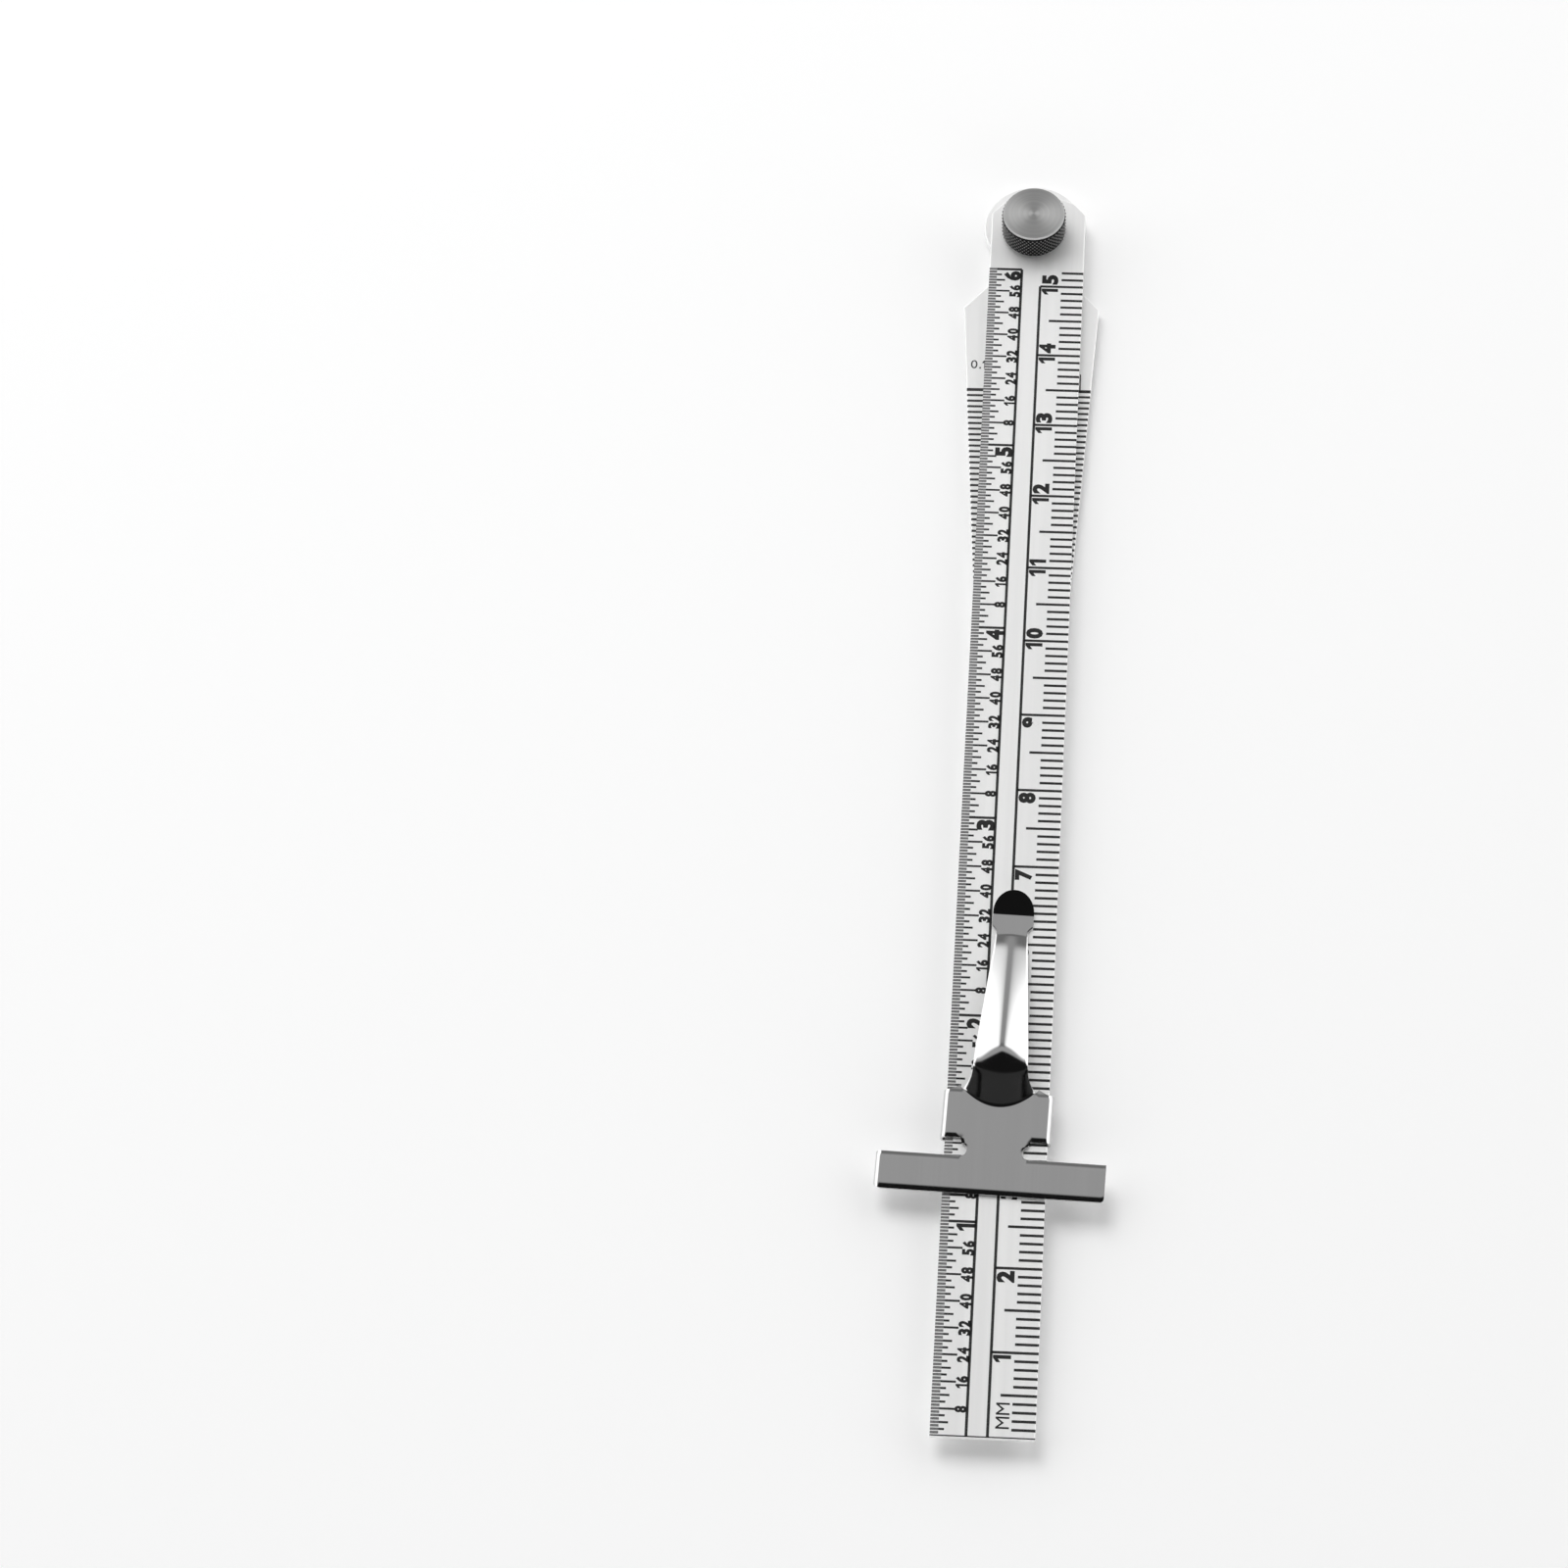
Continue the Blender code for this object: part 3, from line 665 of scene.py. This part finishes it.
@dataclass
class PivotGroup:
    """The stud and the washer, which keep their CAD shapes, and the knurled nut."""

    diameter: float = 7.9 * MM
    height: float = 4.0 * MM
    face_diameter: float = 7.35 * MM
    top_chamfer: float = 0.25 * MM
    foot_chamfer: float = 0.35 * MM
    bore: float = 3.1 * MM
    bore_depth: float = 3.0 * MM
    knurls: int = 48
    knurl_rows: int = 5
    knurl_depth: float = 0.16 * MM
    knurl_fineness: int = 6
    knurl_ease: float = 0.3 * MM
    crest_share: float = 0.15

    def nut_mesh(self) -> Shape:
        """Turn the nut's body with its foot at Z = 0, and press its knurl."""
        outer = self.diameter / 2
        low = self.foot_chamfer
        high = self.height - self.top_chamfer
        rows = shared_out(low, high, 2 * self.knurl_rows * self.knurl_fineness)
        profile = [(0, self.bore_depth), (self.bore / 2, self.bore_depth), (self.bore / 2, 0)]
        profile += [(outer - self.foot_chamfer, 0), *((outer, row) for row in rows)]
        profile += [(outer - self.knurl_depth, high), (self.face_diameter / 2, self.height), (0, self.height)]
        shape = turned(profile, 2 * self.knurls * self.knurl_fineness)
        cell = (high - low) / (2 * self.knurl_rows)
        for point in shape.verts:
            radius = point.co.xy.length
            if abs(radius - outer) > self.knurl_depth / 10:
                continue
            column = Vector((1, 0)).angle_signed(point.co.xy, 0) / (pi / self.knurls)
            row = (point.co.z - low) / cell
            rising = abs((row + column) / 2 % 1 - 0.5) * 2
            falling = abs((row - column) / 2 % 1 - 0.5) * 2
            groove = max(0.0, max(rising, falling) - self.crest_share) / (1 - self.crest_share)
            depth = self.knurl_depth * groove
            from_end = min(point.co.z - low, high - point.co.z)
            depth = max(depth, self.knurl_depth * (1 - eased(from_end / self.knurl_ease)))
            point.co.xy *= (outer - depth) / outer
        return shape

    def build(self) -> list[Piece]:
        """Make the nut and dress the stud and the washer."""
        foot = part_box("thumb_nut")[0].z
        shape = self.nut_mesh()
        bmesh.ops.translate(shape, verts=shape.verts, vec=(0, 0, foot))
        nut = add_piece("knurled_nut", shape, TURNED_FACE.material(), Body.NUT)
        nut.data.materials.append(KNURLED_SIDE.material())
        nut.data.materials.append(TURNED_RING.material())
        top = foot + self.height
        # Side faces below the top chamfer take the knurled material with its painted shade, so the foot
        # chamfer's bright ring is painted dark; the top chamfer takes the ring's steel.
        for face in nut.data.polygons:
            if face.center.xy.length < self.diameter * 0.4 or face.normal.z > 0.99:
                continue
            face.material_index = 1 if face.center.z < top - self.top_chamfer else 2
        smooth(nut.data, radians(12))
        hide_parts("thumb_nut")
        plain = TURNED_FACE.material()
        dress("pivot_stud", plain)
        dress("spacer_washer", plain)
        return [nut]


class Stretch(NamedTuple):
    """A straight or a bend of the tongue's centre line; a straight has no radius."""

    start: float
    height: float
    angle: float
    radius: float


class Station(NamedTuple):
    """One row of the sheet across the clip: where its middle lies, its bow, sag, ridge and half width."""

    along: float
    bow: float
    height: float
    sag: float
    ridge: float
    half: float

    def point(self, across: float) -> Vector:
        """A point of the sheet's underside on this row."""
        rounding = Tongue.ridge_rounding
        peak = self.ridge * (sqrt(across**2 + rounding**2) - rounding)
        return Vector((across, self.along + self.bow * across**2, self.height - self.sag * across**2 - peak))

    def edge(self) -> float:
        """How far along the clip the row's ends lie."""
        return self.along + self.bow * self.half**2


@dataclass
class Tongue:
    """The sprung tongue: the centre line of its underside, and its width."""

    foot: float
    landing_height: float
    foot_bow: float = 0.121 / MM
    ramp_angle: float = radians(36)
    ramp_length: float = 3.2 * MM
    foot_radius: float = 1.0 * MM
    crest_radius: float = 4.5 * MM
    descent_angle: float = radians(11)
    ridge_slope: float = 0.13
    ridge_rounding: float = 0.25 * MM
    ridge_end: float = 2.5 * MM
    landing_radius: float = 3.0 * MM
    landing_length: float = 2.2 * MM
    flare_radius: float = 1.0 * MM
    flare_angle: float = radians(28)
    root_width: float = 8.1 * MM
    flare_length: float = 1.6 * MM
    flare_power: float = 1.5
    wide: float = 6.35 * MM
    narrow: float = 3.55 * MM
    paddle_radius: float = 2.35 * MM
    paddle_ease: float = 1.0 * MM
    paddle_straight: float = 1.6 * MM

    def __post_init__(self) -> None:
        """Lay out the centre line from the foot to the tip."""
        self.stretches: list[Stretch] = []
        self.along = self.foot
        self.height = 0.0
        self.angle = 0.0
        self.bend(self.ramp_angle, self.foot_radius)
        self.straight(self.ramp_length * cos(self.ramp_angle))
        self.ramp_end = self.along
        self.bend(-self.ramp_angle - self.descent_angle, self.crest_radius)
        self.crest_end = self.along
        drop = self.height - self.landing_height - self.landing_radius * (1 - cos(self.descent_angle))
        self.straight(drop / tan(self.descent_angle))
        self.bend(self.descent_angle, self.landing_radius)
        self.landing = self.along
        self.straight(self.landing_length)
        self.bend(self.flare_angle, self.flare_radius)
        self.straight(2 * self.paddle_radius)
        self.root_at = self.foot + self.foot_bow * (self.root_width / 2) ** 2
        self.paddle = self.landing + self.paddle_ease
        self.round_centre = self.paddle + self.paddle_straight

    def straight(self, length: float) -> None:
        """Go on for a length, measured in plan."""
        self.stretches.append(Stretch(self.along, self.height, self.angle, 0.0))
        self.along += length
        self.height += length * tan(self.angle)

    def bend(self, turn: float, radius: float) -> None:
        """Turn by an angle, positive for upwards."""
        radius = radius if turn > 0 else -radius
        self.stretches.append(Stretch(self.along, self.height, self.angle, radius))
        end = self.angle + turn
        self.along += radius * (sin(end) - sin(self.angle))
        self.height += radius * (cos(self.angle) - cos(end))
        self.angle = end

    def at(self, along: float) -> tuple[float, float]:
        """Find the centre line's height and the angle of its slope at a place in plan."""
        if along <= self.foot:
            return 0.0, 0.0
        start, height, angle, radius = [stretch for stretch in self.stretches if stretch.start <= along][-1]
        if not radius:
            return height + (along - start) * tan(angle), angle
        slope = asin(sin(angle) + (along - start) / radius)
        return height + radius * (cos(angle) - cos(slope)), slope

    def half_width(self, along: float) -> float:
        """Find half the tongue's width: flared at the root, straight taper, then a round-ended paddle."""
        root, wide, narrow = self.root_width / 2, self.wide / 2, self.narrow / 2
        if along < self.landing:
            taper = wide - (wide - narrow) * (along - self.root_at) / (self.landing - self.root_at)
            flare = max(0.0, 1 - (along - self.root_at) / self.flare_length)
            return taper + (root - wide) * flare**self.flare_power
        if along < self.paddle:
            return narrow + (self.paddle_radius - narrow) * eased((along - self.landing) / self.paddle_ease)
        return sqrt(max(0.0, self.paddle_radius**2 - max(0.0, along - self.round_centre) ** 2))


@dataclass
class DepthClip:
    """The folded depth clip, one sheet; lengths along it start at the working edge of its T-bar."""

    sheet: float = 0.25 * MM
    bar_left_reach: float = 13.19 * MM
    bar_right_reach: float = 12.58 * MM
    bar_height: float = 4.55 * MM
    bar_corner: float = 0.5 * MM
    bar_rolled_corner: float = 0.8 * MM
    bar_roll_angle: float = radians(70)
    notch_width: float = 1.6 * MM
    neck_width: float = 6.2 * MM
    body_length: float = 6.5 * MM
    peak_rise: float = 0.55 * MM
    peak_spacing: float = 8.9 * MM
    lip_width: float = 2.5 * MM
    fold_radius: float = 0.45 * MM
    foot_before_body_end: float = 1.9 * MM
    from_zero: float = 28.55 * MM
    skew: float = radians(-1.8)
    gap: float = 0.13 * MM
    side_gap: float = 0.2 * MM
    tongue_gap: float = 0.05 * MM
    edge_break: float = 0.08 * MM
    columns: int = 32
    arc_step: float = radians(2.5)
    row_spacing: float = 0.5 * MM
    fold_step: float = radians(6)
    bar_rows: int = 6
    bar_columns: int = 5
    body_rows: int = 10
    ease_rows: int = 10
    round_steps: int = 24
    corner_steps: int = 12
    closest_rows: float = 0.03 * MM
    same_place: float = 0.004 * MM

    def __post_init__(self) -> None:
        """Work out the body's place and the tongue."""
        self.body = self.bar_height + self.notch_width
        foot = self.body + self.body_length - self.foot_before_body_end
        self.tongue = Tongue(foot, self.tongue_gap - self.gap)

    def half_width(self, along: float) -> float:
        """Find half the width of the middle strip: bar, notched neck, body, then tongue."""
        notch = self.notch_width / 2
        notch_centre = self.neck_width / 2 + notch
        root, root_at = self.tongue.root_width / 2, self.tongue.root_at
        if along <= self.bar_height:
            return notch_centre
        if along < self.body:
            return notch_centre - sqrt(max(0.0, notch**2 - (along - self.bar_height - notch) ** 2))
        if along <= root_at:
            return notch_centre + (root - notch_centre) * (along - self.body) / (root_at - self.body)
        return self.tongue.half_width(along)

    def station(self, along: float) -> Station:
        """Shape the row of the sheet whose middle lies at a place in plan."""
        tongue = self.tongue
        height, slope = tongue.at(along)
        over_crest = (along - tongue.ramp_end) / (tongue.crest_end - tongue.ramp_end)
        to_landing = (along - tongue.ramp_end) / (tongue.landing - tongue.ramp_end)
        before_landing = (tongue.landing - along) / tongue.ridge_end
        ridge = tongue.ridge_slope * eased(over_crest) * eased(before_landing)
        if along <= tongue.foot:
            bow = tongue.foot_bow * max(0.0, (along - self.body) / (tongue.foot - self.body))
            crown = 0.0
        elif along <= tongue.ramp_end:
            bow = tongue.foot_bow
            crown = tongue.foot_bow * tan(slope)
        else:
            bow = tongue.foot_bow * max(0.0, 1 - over_crest)
            crown = tongue.foot_bow * tan(tongue.ramp_angle) * max(0.0, 1 - to_landing) ** 2
        half = self.half_width(along)
        for _ in range(8):
            half = self.half_width(along + bow * half**2)
        return Station(along, bow, height, crown - bow * tan(slope), ridge, half)

    def stations(self) -> list[Station]:
        """Place all rows of the middle strip, from the bar's working edge to the tongue's tip."""
        tongue = self.tongue
        notch = self.notch_width / 2
        places = shared_out(0.0, self.bar_height, self.bar_rows)
        half_round = shared_out(0, pi, self.round_steps)
        places += [self.bar_height + notch * (1 - cos(angle)) for angle in half_round]
        places += shared_out(self.body, tongue.foot, self.body_rows)
        for stretch, following in zip(tongue.stretches, tongue.stretches[1:]):
            if stretch.radius:
                steps = round(abs(following.angle - stretch.angle) / self.arc_step)
            else:
                steps = round((following.start - stretch.start) / self.row_spacing)
            places += shared_out(stretch.start, following.start, max(1, steps))
        places += shared_out(tongue.landing, tongue.paddle, self.ease_rows)
        quarter = shared_out(0, pi / 2, self.round_steps)
        places += [tongue.round_centre + tongue.paddle_radius * sin(angle) for angle in quarter]
        rows: list[float] = []
        for place in sorted(places):
            if not rows or place - rows[-1] > self.closest_rows:
                rows.append(place)
        rows[-1] = tongue.round_centre + tongue.paddle_radius
        return [self.station(place) for place in rows]

    @staticmethod
    def extend(shape: Shape, column: Column, places: list[Vector]) -> Column:
        """Extrude the edges along a column of points to new places, and give the new column."""
        edges = [shape.edges.get((first, second)) for first, second in zip(column, column[1:])]
        grown = bmesh.ops.extrude_edge_only(shape, edges=edges)["geom"]
        fresh = {item for item in grown if isinstance(item, bmesh.types.BMVert)}
        result = []
        for point, place in zip(column, places):
            others = (edge.other_vert(point) for edge in point.link_edges)
            twin = next(other for other in others if other in fresh)
            twin.co = place
            result.append(twin)
        return result

    def fold_section(self) -> list[tuple[float, float]]:
        """Lay out the fold's underside, across and height, from the flat to the lip."""
        half = Rule.width / 2 + self.side_gap
        depth = Rule.thickness + 2 * self.gap
        radius = self.fold_radius
        upper = arc_points((half - radius, -radius), radius, pi / 2, 0, self.fold_step)
        lower = arc_points((half - radius, radius - depth), radius, 0, -pi / 2, self.fold_step)
        return upper + lower + [(half - self.lip_width, -depth)]

    def add_body_side(self, shape: Shape, column: Column, rows: list[Station], side: int) -> None:
        """Grow one side of the body from the strip's edge: the peak by the tongue, the fold, the lip."""
        end = self.body + self.body_length
        peak = [(self.peak_spacing / 2, 0.0, end + self.peak_rise)]
        fold = [(across, height, end) for across, height in self.fold_section()]
        for across, height, last in peak + fold:
            places = [Vector((side * across, row.edge(), height)) for row in rows]
            places[-1].y = last
            column = self.extend(shape, column, places)

    def arm_stops(self, length: float, corner: float, roll_start: float) -> list[float]:
        """Place the rows along an arm of the bar, finely spaced over its corner and its roll."""
        quarter = shared_out(0, pi / 2, self.corner_steps)
        stops = [length - corner * (1 - sin(angle)) for angle in quarter]
        stops += shared_out(self.neck_width / 2 + self.notch_width, length - corner, self.bar_columns)
        if roll_start < length:
            stops += shared_out(roll_start, length, self.corner_steps)
        kept: list[float] = []
        for stop in sorted(stops):
            if not kept or stop - kept[-1] > self.closest_rows / 2:
                kept.append(stop)
        return kept

    def add_bar_side(
        self, shape: Shape, column: Column, side: int, reach: float, corner: float, roll: float
    ) -> None:
        """Grow one arm of the T-bar, with a rounded lower corner and its end rolled down by an angle."""
        radius = self.fold_radius
        roll_start = reach - (radius + self.sheet) * sin(roll)
        length = roll_start + radius * roll
        for stop in self.arm_stops(length, corner, roll_start):
            past = max(0.0, stop - (length - corner))
            low = corner - sqrt(max(0.0, corner**2 - past**2))
            turn = max(0.0, stop - roll_start) / radius
            across = min(stop, roll_start) + radius * sin(turn)
            height = -radius * (1 - cos(turn))
            lows = shared_out(low, self.bar_height, len(column) - 1)
            places = [Vector((side * across, place, height)) for place in lows]
            column = self.extend(shape, column, places)

    @staticmethod
    def spaced(share: float) -> float:
        """Draw the columns together near the middle, where the ridge turns, and keep the ends."""
        return share * (0.55 + 0.45 * share**2)

    def sheet_mesh(self) -> Shape:
        """Shape the underside of the sheet in the clip's own frame, its top towards +Z."""
        rows = self.stations()
        last = len(rows) - 1
        shape = bmesh.new()
        bmesh.ops.create_grid(shape, x_segments=self.columns, y_segments=last, size=1)
        sides: dict[int, dict[int, bmesh.types.BMVert]] = {-1: {}, 1: {}}
        for point in shape.verts:
            share = point.co.x
            row = round((point.co.y + 1) / 2 * last)
            if abs(share) > 1 - 1 / self.columns:
                sides[round(share)][row] = point
            point.co = rows[row].point(self.spaced(share) * rows[row].half)
        bar = [row for row in range(last) if rows[row].along < self.bar_height + self.same_place]
        foot = max(row for row in range(last) if rows[row].along < self.tongue.foot + self.same_place)
        body = [row for row in range(foot + 1) if rows[row].along > self.body - self.same_place]
        for side, edge in sides.items():
            self.add_body_side(shape, [edge[row] for row in body], [rows[row] for row in body], side)
        arms = (
            (-1, self.bar_left_reach, self.bar_rolled_corner, self.bar_roll_angle),
            (1, self.bar_right_reach, self.bar_corner, 0.0),
        )
        for side, *form in arms:
            self.add_bar_side(shape, [sides[side][row] for row in bar], side, *form)
        bmesh.ops.remove_doubles(shape, verts=shape.verts, dist=self.same_place)
        bmesh.ops.recalc_face_normals(shape, faces=shape.faces)
        if max(shape.faces, key=lambda face: face.calc_center_median().z).normal.z < 0:
            bmesh.ops.reverse_faces(shape, faces=shape.faces)
        return shape

    def build(self) -> list[Piece]:
        """Fold the sheet and put it on the rule."""
        shape = self.sheet_mesh()
        centre = self.body + self.body_length / 2
        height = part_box("rule")[1].z + self.gap
        place = Matrix.Translation((Rule.offset, self.from_zero + centre - Rule.pivot_to_zero, height))
        turn = Matrix.Rotation(self.skew, 4, "Z")
        matrix = place @ turn @ Matrix.Translation((0, -centre, 0))
        bmesh.ops.transform(shape, matrix=matrix, verts=shape.verts)
        clip = add_piece("sprung_depth_clip", shape, POLISHED_CLIP.material(), Body.CLIP)
        wall = clip.modifiers.new("sheet", "SOLIDIFY")
        wall.thickness = self.sheet
        wall.offset = 1
        wall.use_even_offset = True
        rims = clip.modifiers.new("rims", "BEVEL")
        rims.width = self.edge_break
        rims.segments = 2
        rims.limit_method = "ANGLE"
        rims.angle_limit = radians(50)
        graph = bpy.context.evaluated_depsgraph_get()
        mesh = bpy.data.meshes.new_from_object(clip.evaluated_get(graph))
        clip.modifiers.clear()
        clip.data = mesh
        smooth(mesh, radians(30))
        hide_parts("depth_clip")
        return [clip]


# Studio


@dataclass
class Studio:
    """The pale floor, the soft light and the camera."""

    camera_at: Triple = (14.18273 * MM, -361.20976 * MM, 530.60810 * MM)
    camera_right: Triple = (0.99717063, 0.06177245, -0.04283564)
    camera_down: Triple = (0.03412521, -0.87973192, -0.47424384)
    camera_view: Triple = (-0.06697909, 0.47144025, -0.87935084)
    lens: float = 118.447
    sensor: float = 36.0
    floor_size: float = 6.0
    floor_glow: float = 0.06
    low_light: float = 1.6
    overhead: float = 0.26
    card: float = 0.02
    card_edge: tuple[float, float] = (radians(52), radians(45))
    card_foot: tuple[float, float] = (radians(24), radians(30))
    side_flag: Triple = (0.7686, -0.4803, 0.4226)
    side_flag_edge: tuple[float, float] = (radians(18), radians(14))
    lamp_at: Triple = (-0.25, 0.35, 0.8)
    lamp_target: Triple = (0, -0.08, 0)
    lamp_size: float = 0.6
    lamp_power: float = 3.4

    def camera(self) -> None:
        """Set up the camera at the photograph's place."""
        lens = bpy.data.cameras.new("studio_camera")
        lens.lens = self.lens
        lens.sensor_width = self.sensor
        lens.clip_start = 0.01
        lens.clip_end = 50.0
        camera = linked("studio_camera", lens)
        right, down, view = Vector(self.camera_right), Vector(self.camera_down), Vector(self.camera_view)
        turn = Matrix((right, -down, -view)).transposed().to_4x4()
        camera.matrix_world = Matrix.Translation(self.camera_at) @ turn
        bpy.context.scene.camera = camera

    def floor(self) -> None:
        """Lay the plain white floor, which glows a little to the camera."""
        shape = bmesh.new()
        bmesh.ops.create_grid(shape, x_segments=8, y_segments=8, size=self.floor_size / 2)
        material, nodes, shader = principled("floor_paper")
        seen = nodes.add("LightPath").outputs["Is Camera Ray"]
        nodes.set(
            shader,
            {
                "Base Color": (0.97, 0.97, 0.97, 1.0),
                "Roughness": 0.9,
                "Specular IOR Level": 0.0,
                "Emission Color": (1.0, 1.0, 1.0, 1.0),
                "Emission Strength": nodes.math("MULTIPLY", seen, self.floor_glow),
            },
        )
        mesh = as_mesh("floor", shape)
        mesh.materials.append(material)
        floor = linked("floor", mesh)

    def surroundings(self) -> None:
        """Build the world: white low down all round, grey overhead and a dark card behind the camera."""
        world = bpy.data.worlds.new("studio")
        bpy.context.scene.world = world
        world.use_nodes = True
        nodes = Nodes(world.node_tree)
        world.node_tree.nodes.clear()
        direction = nodes.add("TexCoord").outputs["Generated"]
        across, back, up = nodes.add("SeparateXYZ", direction).outputs
        open_stops = ((0, 1.0), (46, 1.0), (54, self.overhead), (90, self.overhead))
        far_stops = (
            (14, 1.0), (22, 0.3), (40, 0.24), (48, 0.12), (53, 0.12), (58, self.overhead), (90, self.overhead)
        )
        open_side, far_side = (
            nodes.ramp(up, [(sin(radians(degrees)), level) for degrees, level in stops])
            for stops in (open_stops, far_stops)
        )
        aside = nodes.math("ABSOLUTE", across)
        beyond = nodes.spread(aside, 1.0, 0.0, 0.12, 0.3)
        beyond = nodes.math("MULTIPLY", beyond, nodes.spread(back, 0.0, 1.0, 0.1, 0.3))
        level = nodes.blend(beyond, open_side, far_side)
        towards = nodes.vector("DOT_PRODUCT", direction, tuple(-part for part in self.camera_view))
        beside_card = nodes.spread(towards, 1.0, self.card, *map(cos, self.card_edge))
        under_card = nodes.spread(up, 1.0, 0.0, *map(sin, self.card_foot))
        open_part = nodes.math("MAXIMUM", beside_card, under_card)
        either_side = nodes.add("CombineXYZ", aside, back, up).outputs[0]
        flag = nodes.vector("DOT_PRODUCT", either_side, self.side_flag)
        beside_flag = nodes.spread(flag, 1.0, self.card, *map(cos, self.side_flag_edge))
        open_part = nodes.math("MULTIPLY", open_part, beside_flag)
        strength = nodes.math("MULTIPLY", nodes.math("MULTIPLY", level, open_part), self.low_light)
        white = (1.0, 1.0, 1.0, 1.0)
        mix = nodes.add(
            "MixShader",
            nodes.add("LightPath").outputs["Is Camera Ray"],
            nodes.add("Background", white, strength).outputs[0],
            nodes.add("Background", white, 1.0).outputs[0],
        )
        nodes.add("OutputWorld", mix.outputs[0])

    def lamp(self) -> None:
        """Hang the large soft lamp over the left of the gauge."""
        light = bpy.data.lights.new("soft_lamp", "AREA")
        light.shape = "DISK"
        light.size = self.lamp_size
        light.energy = self.lamp_power
        lamp = linked("soft_lamp", light)
        lamp.location = self.lamp_at
        lamp.visible_glossy = False
        lamp.rotation_mode = "QUATERNION"
        lamp.rotation_quaternion = (Vector(self.lamp_target) - lamp.location).to_track_quat("-Z", "Y")

    def build(self) -> None:
        """Build the studio."""
        bpy.context.scene.view_settings.view_transform = "Standard"
        self.camera()
        self.floor()
        self.surroundings()
        self.lamp()


def main() -> None:
    """Build the studio and dress the gauge, and log each new piece's faces."""
    logging.basicConfig(level=logging.INFO, format="%(name)s: %(message)s")
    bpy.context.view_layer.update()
    Studio().build()
    for part in (Rule(), TaperBlade(), PivotGroup(), DepthClip()):
        for piece in part.build():
            log.info("%s: %s, %d faces", type(part).__name__, piece.name, len(piece.data.polygons))


if __name__ == "__main__":
    main()
